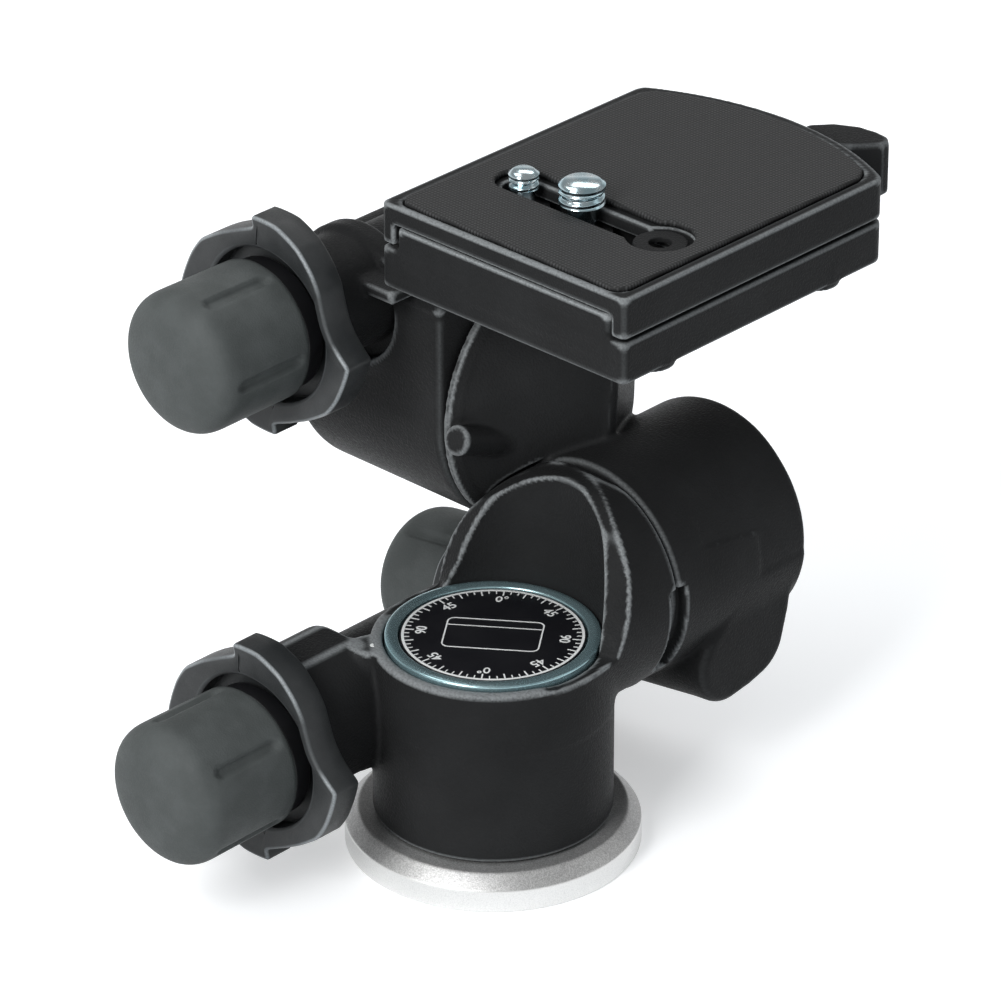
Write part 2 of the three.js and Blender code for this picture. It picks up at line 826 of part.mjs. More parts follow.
// Pieces that all three stages share, as a group in the stage's frame
function stageGroup(stage) {
  const group = new THREE.Group();
  const { name } = stage;
  const worm = piece(`${name}_worm_shaft`, wormShaft(stage), finishes.steel);
  worm.position.set(...wormAt);
  group.add(
    worm,
    piece(`${name}_axle`, axle(stage), finishes.steel),
    piece(`${name}_worm_wheel`, wheel(stage), finishes.bronze),
    piece(`${name}_wheel_nut`, wheelNut(stage), finishes.steel),
    piece(`${name}_thrust_washer`, thrustWasher(stage), finishes.steel),
    piece(`${name}_end_bush`, endBush(stage), finishes.bronze),
    piece(`${name}_cover_ring`, coverRing(stage), finishes.blackCasting),
    piece(`${name}_rear_bush`, rearBush(stage), finishes.bronze),
    piece(`${name}_worm_sleeve`, wormSleeve(stage), finishes.steel),
    piece(`${name}_collar`, wingedCollar(stage), finishes.blackPlastic),
    piece(`${name}_collar_spring`, collarSpring(stage), finishes.steel),
    piece(`${name}_knob_core`, knobCore(stage), finishes.blackPlastic),
    piece(`${name}_knob_grip`, knobGrip(stage), finishes.greyRubber),
  );
  stage.frame.decompose(group.position, group.quaternion, group.scale);
  return group;
}

// Base and dial

function baseDisc() {
  const bore = insertRadius + seatGap;
  return asSolid(turned('z', [
    [bore, 0], [baseRadius, 0], [baseRadius, baseRimHeight], [baseTopRadius, baseHeight],
    [bore, baseHeight], [bore, 0],
  ], [0, 0, 0], castSides));
}

const baseInsert = () => asSolid(ring('z', tripodThreadRadius, insertRadius, 0, insertHeight));

function dialBezel() {
  const floor = pocketFloor + seatGap;
  return asSolid(turned('z', [
    [0, floor], [bezelRadius, floor], [bezelRadius, bezelTop - bezelFloor / 2],
    [bezelRadius - bezelFloor / 2, bezelTop], [bezelInnerRadius, bezelTop],
    [bezelInnerRadius, floor + bezelFloor], [0, floor + bezelFloor],
  ], [0, 0, 0], castSides));
}

const dialFace = () => asSolid(bar(
  'z',
  dialFaceRadius,
  pocketFloor + seatGap + bezelFloor + seatGap,
  dialFaceTop,
  [0, 0, 0],
  castSides,
));

// Pan casting: upright body and level barrel, with a fence round the back of the dial pocket
function panHousing() {
  const tiltAt = [0, 0, tiltHeight];
  const above = tiltHeight + tiltRadius + overrun;
  const body = asSolid(bar('z', bodyRadius, bodyBottom, rimHeight, [0, 0, 0], castSides));
  const barrel = asSolid(bar('y', tiltRadius, 0, tiltPartingY, tiltAt, castSides));
  const lugAt = [bodyRadius * Math.cos(degrees(lugAngle)), bodyRadius * Math.sin(degrees(lugAngle)), 0];
  const lug = asSolid(bar('z', lugRadius, rimHeight - lugDepth, rimHeight, lugAt, smallSides));
  const pocket = asSolid(bar('z', pocketRadius, pocketFloor, above, [0, 0, 0], castSides));
  const lipCut = cut(
    asSolid(bar('z', pocketRadius + fenceBand, rimHeight, above, [0, 0, 0], castSides)),
    asSolid(bar('y', tiltRadius - fenceLip, -bodyRadius, tiltPartingY, tiltAt, castSides)),
  );
  const sweepLine = fenceSweepShares.map(({ back, up }) => [back * tiltRadius, rimHeight + up * tiltRadius]);
  const sweepTop = Math.max(...sweepLine.map(([, height]) => height));
  const sweepOutline = new THREE.Shape([[-bodyRadius, rimHeight], ...sweepLine, [-bodyRadius, sweepTop]]
    .map(([depth, height]) => new THREE.Vector2(depth, height)));
  const sweepCut = asSolid(new THREE.ExtrudeGeometry(sweepOutline, {
    depth: 2 * (tiltRadius + overrun),
    bevelEnabled: false,
  })
    .applyMatrix4(new THREE.Matrix4().makeBasis(
      new THREE.Vector3(0, 1, 0),
      new THREE.Vector3(0, 0, 1),
      new THREE.Vector3(1, 0, 0),
    ))
    .translate(-tiltRadius - overrun, 0, 0));
  const axleSeat = asSolid(bar(
    'y',
    axleRadius + seatGap,
    tiltPartingY - spigotLength,
    tiltPartingY + overrun,
    tiltAt,
  ));
  const shell = cut(join(body, barrel, lug, wormBoss(stages.pan)), pocket, lipCut, sweepCut, axleSeat);
  return cut(shell, ...stageHollows(stages.pan));
}

// Tilt casting: the turning barrel, its worm boss and the arm for the roll stage
function tiltHousing() {
  const at = [0, 0, tiltHeight];
  const face = tiltPartingY + partingGap;
  const barrel = asSolid(turned('y', [
    [0, face], [tiltRadius, face], [tiltRadius, tiltEndY - tiltEndChamfer],
    [tiltRadius - tiltEndChamfer, tiltEndY], [0, tiltEndY],
  ], at, castSides));
  const armRing = (x) => circlePoints('x', [x, rollY, rollHeight], armRadius, castSides / 2)
    .map((point) => point.setY(Math.min(point.y, armBack)));
  const arm = asSolid(hull(
    armRing(rollPartingX),
    armRing(rollPartingX + armRingThickness),
    [
      new THREE.Vector3(rollPartingX + armLowWidth, rollY, rollHeight - armLowDrop),
      new THREE.Vector3(rollPartingX + armHighWidth, rollY, rollHeight + armHighRise),
    ],
  ));
  const flangeRing = asSolid(turned('x', [
    [0, rollPartingX], [rollRadius - runGap, rollPartingX],
    [rollRadius - runGap, rollPartingX + armRingThickness / 2],
    [armRadius, rollPartingX + armRingThickness], [0, rollPartingX + armRingThickness],
  ], [0, rollY, rollHeight], castSides));
  const sweep = asSolid(bar(
    'y',
    tiltRadius + armSweepGap,
    -tiltRadius,
    face,
    at,
    castSides,
  ));
  const behind = asSolid(block(
    [rollPartingX - overrun, armBack, rollHeight - rollRadius],
    [rollPartingX + armHighWidth, rollY + rollRadius, rollHeight + rollRadius],
  ));
  const peg = bar('y', pegRadius, 0, pegLength, [0, 0, 0], smallSides);
  peg.rotateX(-degrees(pegAngle)).translate(rollPartingX + pegInset, rollY - pegReach, rollHeight + pegRise);
  const lobes = (x, inset) => ovalShares.flatMap(({ along, up, radius }) => circlePoints(
    'x',
    [x, tiltWheelY + along * tiltRadius, tiltHeight + up * tiltRadius],
    radius * tiltRadius - inset,
  ));
  const shoulder = ovalEnd - ovalRound;
  const oval = asSolid(hull(
    lobes(ovalStart, 0),
    lobes(shoulder, 0),
    lobes(shoulder + ovalRound / 2, ovalRound / 4),
    lobes(ovalEnd, ovalRound),
  ));
  const axleSeat = asSolid(bar(
    'x',
    axleRadius + seatGap,
    rollPartingX - overrun,
    rollPartingX + spigotLength,
    [0, rollY, rollHeight],
  ));
  const carrier = cut(join(arm, flangeRing, asSolid(peg)), sweep, behind);
  const solid = join(barrel, carrier, wormBoss(stages.tilt), oval);
  return cut(solid, axleSeat, ...stageHollows(stages.tilt));
}

// Roll casting: a tombstone section along X, worm boss on its top, flange for the receiver
function rollHousing() {
  const outline = new THREE.Shape();
  const half = Math.PI / 2;
  outline.moveTo(rollY - rollRadius, rollTop);
  outline.lineTo(rollY - rollRadius, rollHeight);
  outline.absarc(rollY, rollHeight, rollRadius, 2 * half, 4 * half, false);
  outline.lineTo(rollY + rollRadius, rollTop);
  const inset = rollEndRound / 2;
  const length = rollPartingX - rollEndX + rollEndRound;
  const tube = new THREE.ExtrudeGeometry(outline, {
    depth: length - inset,
    bevelThickness: inset,
    bevelSize: inset,
    bevelOffset: -inset,
    bevelSegments: rollEndSteps,
    curveSegments: castSides / 2,
  });
  // The outline's X and Y become Y and Z, and its depth becomes X
  tube.applyMatrix4(new THREE.Matrix4().makeBasis(
    new THREE.Vector3(0, 1, 0),
    new THREE.Vector3(0, 0, 1),
    new THREE.Vector3(1, 0, 0),
  ));
  tube.translate(rollEndX + inset, 0, 0);
  const face = rollPartingX - partingGap;
  const beyond = asSolid(block(
    [face, rollY - rollRadius - overrun, rollHeight - rollRadius - overrun],
    [face + length, rollY + rollRadius + overrun, rollTop + overrun],
  ));
  const behind = asSolid(block(
    [rollEndX - overrun, rollBack, rollHeight - rollRadius],
    [face + overrun, rollY + rollRadius + overrun, rollTop + overrun],
  ));
  const flange = asSolid(block(
    [flangeLeft, rollY - rollRadius, rollTop],
    [face, flangeBack, flangeTop],
  ));
  const lip = asSolid(block(
    [flangeLeft, lipFront, rollTop + lipRise],
    [lipRight, rollY, rollTop + lipRise + lipThickness],
  ));
  const padAt = [wormOffset - padDrop, 0, 0];
  const pad = asSolid(bar('y', padRadius, rollRadius - padThickness, rollRadius, padAt, castSides)
    .applyMatrix4(stages.roll.frame));
  const holes = receiverScrewPlaces.map((y) => asSolid(bar(
    'z',
    receiverScrewRadius + seatGap,
    rollTop - overrun,
    flangeTop + overrun,
    [receiverScrewX, y, 0],
    smallSides,
  )));
  const solid = join(cut(asSolid(tube), beyond, behind), flange, lip, pad, wormBoss(stages.roll));
  return cut(solid, ...stageHollows(stages.roll), ...holes);
}

// Plan of the plate: straight front and sides, bowed back; inset moves every edge inwards
function planOutline(sideInset, frontInset, backInset, corner) {
  const [left, right] = [-1, 1].map((side) => plateMiddle + side * (plateHalfWidth - sideInset));
  const front = plateFront + frontInset;
  const bow = plateBack - plateSideEnd;
  const arcRadius = (plateHalfWidth ** 2 + bow ** 2) / (2 * bow);
  const arcCentre = plateBack - arcRadius;
  const backRadius = arcRadius - backInset;
  const bend = Math.asin((plateHalfWidth - sideInset - corner) / backRadius);
  const sideEnd = arcCentre + backRadius * Math.cos(bend) - corner;
  const quarter = Math.PI / 2;
  const outline = new THREE.Shape();
  outline.moveTo(left + corner, front);
  outline.lineTo(right - corner, front);
  outline.absarc(right - corner, front + corner, corner, -quarter, 0, false);
  outline.lineTo(right, sideEnd);
  outline.absarc(plateMiddle, arcCentre, backRadius, quarter - bend, quarter + bend, false);
  outline.lineTo(left, sideEnd);
  outline.lineTo(left, front + corner);
  outline.absarc(left + corner, front + corner, corner, 2 * quarter, 3 * quarter, false);
  return outline;
}

// A slot along X with round ends, as a cutter from one height to another
function slotCutter(halfWidth, from, to) {
  const outline = new THREE.Shape();
  outline.absarc(slotLeft, slotY, halfWidth, Math.PI / 2, (3 * Math.PI) / 2, false);
  outline.absarc(slotRight, slotY, halfWidth, -Math.PI / 2, Math.PI / 2, false);
  return asSolid(raised(outline, from, to, slotEndSteps));
}

// Receiver: floor, dovetail island for the plate, feet, and the ear for the lever
function receiver() {
  const floor = asSolid(raised(planOutline(0, 0, 0, plateCorner), receiverBottom, receiverTop));
  const island = asSolid(raised(
    planOutline(islandInset, islandFrontInset, islandInset, plateCorner),
    receiverTop - seatGap,
    islandTop,
  ));
  const trough = asSolid(block(
    [-troughHalfLength, slotY - troughHalfWidth, receiverTop],
    [troughHalfLength, slotY + troughHalfWidth, islandTop + overrun],
  ));
  const feet = footPlaces.map((y) => asSolid(bar(
    'z',
    footRadius,
    receiverBottom - footHeight,
    receiverTop,
    [footX, y, 0],
    smallSides,
  )));
  const ear = asSolid(hull(
    circlePoints('z', [leverPivotX, leverPivotY, receiverBottom], leverBossRadius, smallSides),
    circlePoints('z', [leverPivotX, leverPivotY, earTop], leverBossRadius, smallSides),
    circlePoints('z', [leverPivotX, plateSideEnd, receiverBottom], earRootRadius, smallSides),
    circlePoints('z', [leverPivotX, plateSideEnd, earTop], earRootRadius, smallSides),
  ));
  const pinHole = asSolid(bar(
    'z',
    leverPinRadius + seatGap,
    receiverBottom - overrun,
    earTop + overrun,
    [leverPivotX, leverPivotY, 0],
    smallSides,
  ));
  const screwHoles = receiverScrewPlaces.flatMap((y) => [
    asSolid(bar(
      'z',
      receiverScrewRadius + seatGap,
      receiverBottom - overrun,
      islandTop,
      [receiverScrewX, y, 0],
      smallSides,
    )),
    asSolid(bar(
      'z',
      receiverScrewHeadRadius + seatGap,
      receiverTop - receiverScrewSink - receiverScrewHead - seatGap,
      islandTop + overrun,
      [receiverScrewX, y, 0],
      smallSides,
    )),
  ]);
  return cut(join(floor, island, ...feet, ear), trough, pinHole, ...screwHoles);
}

function receiverScrew(y) {
  const top = receiverTop - receiverScrewSink;
  const shoulder = top - receiverScrewHead;
  return asSolid(turned('z', [
    [0, shoulder - receiverScrewLength], [receiverScrewRadius, shoulder - receiverScrewLength],
    [receiverScrewRadius, shoulder], [receiverScrewHeadRadius, shoulder],
    [receiverScrewHeadRadius, top], [0, top],
  ], [receiverScrewX, y, 0], smallSides));
}

// Quick-release plate: a slab with side and back skirts, recessed for the pad and slotted
function releasePlate() {
  const whole = asSolid(raised(planOutline(0, 0, 0, plateCorner), skirtBottom, plateTop));
  const under = asSolid(raised(
    planOutline(skirtThickness, -overrun, skirtThickness, plateCorner),
    skirtBottom - overrun,
    slabBottom,
  ));
  const padSeat = asSolid(raised(
    planOutline(padSideInset, padFrontInset, padBackInset, padCorner),
    padTop - padSheet - seatGap,
    plateTop + overrun,
  ));
  const slot = slotCutter(slotHalfWidth, slabBottom - overrun, plateTop + overrun);
  const recess = asSolid(bar('z', recessRadius, recessFloor, plateTop + overrun, [slotRight, slotY, 0]));
  return cut(whole, under, padSeat, slot, recess);
}

function platePad() {
  const sheet = asSolid(raised(
    planOutline(padSideInset + seatGap, padFrontInset + seatGap, padBackInset + seatGap, padCorner),
    padTop - padSheet,
    padTop,
  ));
  const slot = slotCutter(padSlotHalfWidth, padTop - padSheet - overrun, padTop + overrun);
  const recess = asSolid(bar(
    'z',
    recessRadius,
    padTop - padSheet - overrun,
    padTop + overrun,
    [slotRight, slotY, 0],
  ));
  return cut(sheet, slot, recess);
}

const endWasher = () => asSolid(ring(
  'z',
  endWasherHole,
  endWasherRadius,
  recessFloor + seatGap,
  recessFloor + seatGap + endWasherThickness,
  [slotRight, slotY, 0],
));

// Captive screw: head under the slab, plain neck in the slot, thread rings above
function cameraScrew({ x, threadRadius, startRise, topRise, neckRadius, headRadius, pitch }) {
  const headTop = screwHeadBottom + screwHeadThickness;
  const threadStart = padTop + startRise;
  const threadTop = padTop + topRise;
  const profile = [
    [0, screwHeadBottom], [headRadius, screwHeadBottom], [headRadius, headTop], [neckRadius, headTop],
    [neckRadius, threadStart],
  ];
  const bodyTop = threadTop - screwChamfer;
  const rings = Math.floor((bodyTop - threadStart) / pitch);
  const ringPitch = (bodyTop - threadStart) / rings;
  for (let i = 0; i < rings; i += 1) {
    const low = threadStart + i * ringPitch;
    const [rootFrom, crestFrom, crestTo, rootTo] = threadFlankShares.map((share) => low + share * ringPitch);
    profile.push(
      [threadRadius - threadDepth, i === 0 ? low : rootFrom],
      [threadRadius, crestFrom],
      [threadRadius, crestTo],
      [threadRadius - threadDepth, rootTo],
    );
  }
  profile.push(
    [threadRadius - threadDepth, bodyTop],
    [threadRadius - screwChamfer - threadDepth, threadTop],
    [0, threadTop],
  );
  const body = asSolid(turned('z', profile, [x, slotY, 0], smallSides));
  const driver = asSolid(block(
    [x - screwSlotWidth / 2, slotY - headRadius - overrun, screwHeadBottom - overrun],
    [x + screwSlotWidth / 2, slotY + headRadius + overrun, screwHeadBottom + screwSlotDepth],
  ));
  return cut(body, driver);
}

// Retaining ring that keeps a camera screw in the slot and slides along it
function screwClip({ x, neckRadius, headRadius }) {
  const bottom = screwHeadBottom + screwHeadThickness + clipLift;
  return asSolid(ring(
    'z',
    neckRadius + seatGap,
    headRadius,
    bottom,
    bottom + clipThickness,
    [x, slotY, 0],
    smallSides,
  ));
}

// Lock lever: a boss on the pivot, a low arm and a curved paddle past the plate's corner
function lockLever() {
  const flat = (shares, from, to) => {
    const points = shares.map(([x, y]) => [leverPivotX + x * leverReach, leverPivotY + y * leverReach]);
    const shape = new THREE.Shape();
    points.forEach(([x, y], i) => (i === 0 ? shape.moveTo(x, y) : shape.lineTo(x, y)));
    return asSolid(raised(shape, from, to));
  };
  const at = [leverPivotX, leverPivotY, 0];
  const boss = asSolid(bar('z', leverBossRadius, leverBottom, leverArmTop, at, smallSides));
  const hole = asSolid(bar(
    'z',
    leverPinRadius + runGap,
    leverBottom - overrun,
    leverArmTop + overrun,
    at,
    smallSides,
  ));
  const springRoom = asSolid(bar(
    'z',
    leverCounterbore,
    leverBottom - overrun,
    leverBottom + leverCounterboreDepth,
    at,
    smallSides,
  ));
  const arm = flat(leverArmShares, leverBottom, leverArmTop);
  const paddle = flat(paddleShares, leverBottom - paddleDrop, leverArmTop + paddleRise);
  return cut(join(arm, paddle, boss), hole, springRoom);
}

function leverPin() {
  const at = [leverPivotX, leverPivotY, 0];
  const headFrom = leverArmTop + seatGap;
  return asSolid(turned('z', [
    [0, receiverBottom + seatGap], [leverPinRadius, receiverBottom + seatGap],
    [leverPinRadius, headFrom], [pinHeadRadius, headFrom],
    [pinHeadRadius, headFrom + pinHeadThickness], [0, headFrom + pinHeadThickness],
  ], at, smallSides));
}

function leverSpring() {
  const spring = coil(
    leverSpringRadius,
    leverSpringWire,
    leverSpringTurns,
    earTop + seatGap,
    leverBottom + leverCounterboreDepth - seatGap,
    [0, 0, 0],
  );
  return asSolid(spring.rotateX(Math.PI / 2).translate(leverPivotX, leverPivotY, 0));
}

const head = new THREE.Group();
head.add(
  piece('base_disc', baseDisc(), finishes.rawAluminium),
  piece('base_insert', baseInsert(), finishes.steel),
  piece('dial_bezel', dialBezel(), finishes.polishedRing),
  piece('dial_face', dialFace(), finishes.dialBlack),
  piece('pan_housing', panHousing(), finishes.blackCasting),
  piece('tilt_housing', tiltHousing(), finishes.blackCasting),
  piece('roll_housing', rollHousing(), finishes.blackCasting),
  stageGroup(stages.pan),
  stageGroup(stages.tilt),
  stageGroup(stages.roll),
  piece('receiver', receiver(), finishes.blackCasting),
  piece('quick_release_plate', releasePlate(), finishes.blackCasting),
  piece('plate_pad', platePad(), finishes.padRubber),
  piece('slot_end_washer', endWasher(), finishes.steel),
  piece('lock_lever', lockLever(), finishes.blackCasting),
  piece('lever_pin', leverPin(), finishes.steel),
  piece('lever_spring', leverSpring(), finishes.steel),
);
receiverScrewPlaces.forEach((y, i) => {
  head.add(piece(`receiver_screw_${i + 1}`, receiverScrew(y), finishes.steel));
});
[wideScrew, narrowScrew].forEach((screw) => {
  head.add(
    piece(screw.name, cameraScrew(screw), finishes.zinc),
    piece(`${screw.name}_clip`, screwClip(screw), finishes.steel),
  );
});

export default head;
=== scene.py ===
import math

import bpy
import numpy as np
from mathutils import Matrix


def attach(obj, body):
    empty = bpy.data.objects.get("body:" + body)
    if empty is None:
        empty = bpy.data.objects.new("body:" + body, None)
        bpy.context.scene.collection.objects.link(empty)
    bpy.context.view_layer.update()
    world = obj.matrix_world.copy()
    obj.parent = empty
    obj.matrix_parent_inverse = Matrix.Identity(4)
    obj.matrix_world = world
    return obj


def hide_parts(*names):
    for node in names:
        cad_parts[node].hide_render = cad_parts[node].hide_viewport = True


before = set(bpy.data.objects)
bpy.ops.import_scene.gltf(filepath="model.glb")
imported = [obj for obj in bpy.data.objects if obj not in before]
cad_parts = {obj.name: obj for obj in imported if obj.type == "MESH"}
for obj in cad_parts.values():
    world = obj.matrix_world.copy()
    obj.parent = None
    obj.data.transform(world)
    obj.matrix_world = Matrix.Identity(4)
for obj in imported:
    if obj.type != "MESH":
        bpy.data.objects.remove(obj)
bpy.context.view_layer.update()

# The photograph is taken from the front right and a little above, with a long lens, so the
# head is seen almost without perspective.
scene = bpy.context.scene
scene.view_settings.view_transform = "Standard"
head_middle = np.array([-0.00703, 0.00957, 0.07014])


def aimed(thing, azimuth, elevation, distance):
    """An object set on a sphere round the head, at angles in degrees, facing its middle."""
    a, e = math.radians(azimuth), math.radians(elevation)
    way = np.array([math.sin(a) * math.cos(e), -math.cos(a) * math.cos(e), math.sin(e)])
    thing.location = head_middle + distance * way
    thing.rotation_euler = (math.pi / 2 - e, 0, a)
    scene.collection.objects.link(thing)


camera = bpy.data.objects.new("photo_camera", bpy.data.cameras.new("photo_camera"))
camera.data.sensor_width = 36
camera.data.lens = 213.45
camera.data.clip_start, camera.data.clip_end = 0.05, 20
aimed(camera, 43.46, 28.18, 1.17655)
scene.camera = camera

# The studio: a pale floor, a white surround that gloss sees too and that darkens overhead, a
# strong soft box in front, one above, a weak one on the right and a strip behind.


def bench(owner):
    """A cleared node tree's maker of nodes: node(kind, {socket: number, colour, node or output},
    setting=value) adds a node, sets or links its sockets and returns it."""
    owner.use_nodes = True
    tree = owner.node_tree
    tree.nodes.clear()

    def node(kind, sockets=(), **settings):
        made = tree.nodes.new("ShaderNode" + kind)
        for name, value in settings.items():
            setattr(made, name, value)
        for name, value in dict(sockets).items():
            if isinstance(value, bpy.types.Node):
                value = next(output for output in value.outputs if output.enabled)
            if isinstance(value, bpy.types.NodeSocket):
                tree.links.new(value, made.inputs[name])
            else:
                made.inputs[name].default_value = value
        return made

    return node


def soft_box(name, azimuth, elevation, distance, width, height, power):
    """A rectangular lamp that faces the head."""
    lamp = bpy.data.lights.new(name, "AREA")
    lamp.shape = "RECTANGLE"
    lamp.size, lamp.size_y = width, height
    lamp.energy = power
    aimed(bpy.data.objects.new(name, lamp), azimuth, elevation, distance)


soft_box("top_soft_box", -60, 62, 0.9, 0.5, 0.5, 2.2)
soft_box("front_soft_box", 8, 33, 1.0, 0.4, 0.6, 8.5)
soft_box("right_soft_box", 125, 30, 1.0, 0.3, 0.9, 0.5)
soft_box("back_soft_box", 205, 52, 1.0, 0.8, 0.35, 2.6)

surround = bpy.data.worlds.new("white_surround")
node = bench(surround)
rays = node("LightPath").outputs
upward = node("SeparateXYZ", {0: node("TexCoord").outputs["Generated"]}).outputs["Z"]
ceiling = node("MapRange", {
    "Value": upward, "From Min": 0.02, "From Max": 0.35, "To Min": 1, "To Max": 0.32,
})
brightest = node("Math", {0: ceiling, 1: rays["Is Camera Ray"]}, operation="MAXIMUM")
white = node("Background", {"Color": (1, 1, 1, 1), "Strength": brightest})
dim = node("Background", {"Color": (0.9, 0.95, 1, 1), "Strength": 0.36})


def seen_ray(node, rays):
    """One where the camera looks straight, through glass or by reflection, else nought."""
    seen = rays["Is Camera Ray"]
    for kind in ("Is Transmission Ray", "Is Glossy Ray"):
        seen = node("Math", {0: seen, 1: rays[kind]}, operation="MAXIMUM")
    return seen


node("OutputWorld", {
    "Surface": node("MixShader", {"Fac": seen_ray(node, rays), 1: dim, 2: white}),
})
scene.world = surround

floor_half = 3.0
floor_mesh = bpy.data.meshes.new("studio_floor")
floor_mesh.from_pydata(
    [(x * floor_half, y * floor_half, 0) for x, y in ((-1, -1), (1, -1), (1, 1), (-1, 1))],
    [],
    [(0, 1, 2, 3)],
)
floor = bpy.data.objects.new("studio_floor", floor_mesh)
pale = bpy.data.materials.new("pale_floor")
node = bench(pale)
away = node("VectorMath", {0: node("TexCoord").outputs["Object"]}, operation="LENGTH")
far_glow = node("MapRange", {
    "Value": away.outputs["Value"], "From Min": 0.25, "From Max": 1.2, "To Min": 0.42,
    "To Max": 0.8,
})
shown = node("Math", {0: seen_ray(node, node("LightPath").outputs), 1: far_glow},
             operation="MULTIPLY")
paper = node("BsdfDiffuse", {"Color": (0.82, 0.83, 0.84, 1)})
node("OutputMaterial", {
    "Surface": node("AddShader", {0: paper, 1: node("Emission", {"Strength": shown})}),
})
floor_mesh.materials.append(pale)
scene.collection.objects.link(floor)

# The base is a turned aluminium disc, bead-blasted, with a threaded steel insert for the
# tripod's screw. The whole head turns on it.
mm = 0.001


def finish_of(name, colour, rough, metal=0.0, patch=None, patch_size=12.0, grain=0.3,
              grain_height=0.01, rough_spread=0.05, specular=0.5, wear_and_highlight_tone=None, wear_and_highlight_rough=0.3,
              speckle=None):
    """A surface with patches of a second colour, a fine grain in its bump and roughness, and
    a worn tone, also used as painted highlight, where the piece's wear_and_highlight attribute is
    high. Sizes are millimetres."""
    material = bpy.data.materials.new(name)
    node = bench(material)
    place = node("TexCoord").outputs["Object"]
    cloud = node("TexNoise", {"Vector": place, "Scale": 1 / (patch_size * mm), "Detail": 4})
    dust = node("TexNoise", {"Vector": place, "Scale": 1 / (grain * mm), "Detail": 2})
    bump = node("Bump", {"Strength": 1, "Distance": grain_height * mm, "Height": dust})
    tone = node("Mix", {
        "Factor": node("MapRange", {"Value": cloud, "From Min": 0.38, "From Max": 0.66}),
        "A": (*colour, 1), "B": (*(patch or [c * 1.35 for c in colour]), 1),
    }, data_type="RGBA")
    gloss = node("MapRange", {
        "Value": dust, "From Min": 0.3, "From Max": 0.7,
        "To Min": rough - rough_spread, "To Max": rough + rough_spread,
    })
    if speckle:
        spot = node("TexVoronoi", {"Vector": place, "Scale": 1 / (speckle * mm)})
        share = node("SeparateColor", {0: spot.outputs["Color"]})
        shade = node("MapRange", {"Value": share, "To Min": 0.72, "To Max": 1.2})
        tone = node("Mix", {"Factor": 1, "A": tone, "B": shade},
                    data_type="RGBA", blend_type="MULTIPLY")
    if wear_and_highlight_tone:
        # the worn tone stands for rubbed edges and also paints their highlights
        wear_and_highlight = node("Attribute", attribute_name="wear_and_highlight").outputs["Fac"]
        patchy = node("MapRange", {"Value": dust, "From Min": 0.25, "From Max": 0.6,
                                   "To Min": 0.55})
        rub_and_highlight = node("Math", {0: wear_and_highlight, 1: patchy}, operation="MULTIPLY")
        tone = node("Mix", {"Factor": rub_and_highlight, "A": tone, "B": (*wear_and_highlight_tone, 1)}, data_type="RGBA")
        gloss = node("Mix", {"Factor": rub_and_highlight, "A": gloss, "B": wear_and_highlight_rough})
    node("OutputMaterial", {"Surface": node("BsdfPrincipled", {
        "Base Color": tone, "Metallic": metal, "Roughness": gloss,
        "Specular IOR Level": specular, "Normal": bump,
    })})
    return material


def put(name, points, faces, body, slot, finish, replaced=(), wear_and_highlight=None, crease=None):
    """A piece from points in millimetres and faces, riding on its body and standing for its
    CAD nodes. wear_and_highlight is one number a point, for rubbed edges and painted highlights,
    and edges sharper than crease degrees stay sharp."""
    mesh = bpy.data.meshes.new(name)
    mesh.from_pydata((np.asarray(points, float) * mm).tolist(), [], faces)
    mesh.polygons.foreach_set("use_smooth", np.ones(len(mesh.polygons), bool))
    if crease:
        mesh.set_sharp_from_angle(angle=math.radians(crease))
    if wear_and_highlight is not None:
        mesh.attributes.new("wear_and_highlight", "FLOAT", "POINT").data.foreach_set(
            "value", np.asarray(wear_and_highlight, np.float32)
        )
    mesh.materials.append(finish)
    piece = bpy.data.objects.new(name, mesh)
    scene.collection.objects.link(piece)
    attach(piece, body)
    if replaced:
        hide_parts(*replaced)


def eased(profile, edge, closed=False):
    """A line of corners with each corner cut back by edge and bent round on a parabola."""
    profile = np.array(profile, float)
    count = len(profile)
    line = []
    for i, corner in enumerate(profile):
        if not closed and i in (0, count - 1):
            line.append(corner[None])
            continue
        before, after = profile[i - 1] - corner, profile[(i + 1) % count] - corner
        reach = [min(edge, 0.45 * np.linalg.norm(way)) for way in (before, after)]
        start = corner + before / np.linalg.norm(before) * reach[0]
        end = corner + after / np.linalg.norm(after) * reach[1]
        t = np.linspace(0, 1, 5)[:, None]
        line.append((1 - t) ** 2 * start + 2 * t * (1 - t) * corner + t ** 2 * end)
    return np.concatenate(line)


def grid_faces(rows, columns, close_rows):
    """Quads of a grid whose columns run round, and whose rows do so too if close_rows."""
    row = np.arange(rows if close_rows else rows - 1)[:, None]
    column = np.arange(columns)[None]
    below, above = row * columns, (row + 1) % rows * columns
    beside = (column + 1) % columns
    return np.stack(np.broadcast_arrays(
        below + column, below + beside, above + beside, above + column,
    ), -1).reshape(-1, 4)


def weld(points, faces):
    """The same surface with equal points made one and faces that shrank to a line left out."""
    _, first, same = np.unique(
        np.round(points, 5), axis=0, return_index=True, return_inverse=True,
    )
    same = same.reshape(-1)[faces]
    kept = [list(dict.fromkeys(face)) for face in same.tolist()]
    return points[first], [face for face in kept if len(face) > 2]


def turned(profile, sides=128, closed=True, wave=None):
    """A surface of revolution about Z: the profile's (radius, height) line carried round a
    circle. wave(angle, row, radius) may give each row's radius at each angle."""
    profile = np.asarray(profile, float)
    angle = np.arange(sides) / sides * 2 * math.pi
    radius = np.repeat(profile[:, :1], sides, 1)
    if wave:
        radius = wave(angle[None], np.arange(len(profile))[:, None], radius)
    points = np.stack(np.broadcast_arrays(
        radius * np.cos(angle), radius * np.sin(angle), profile[:, 1:],
    ), -1).reshape(-1, 3)
    return weld(points, grid_faces(len(profile), sides, closed))


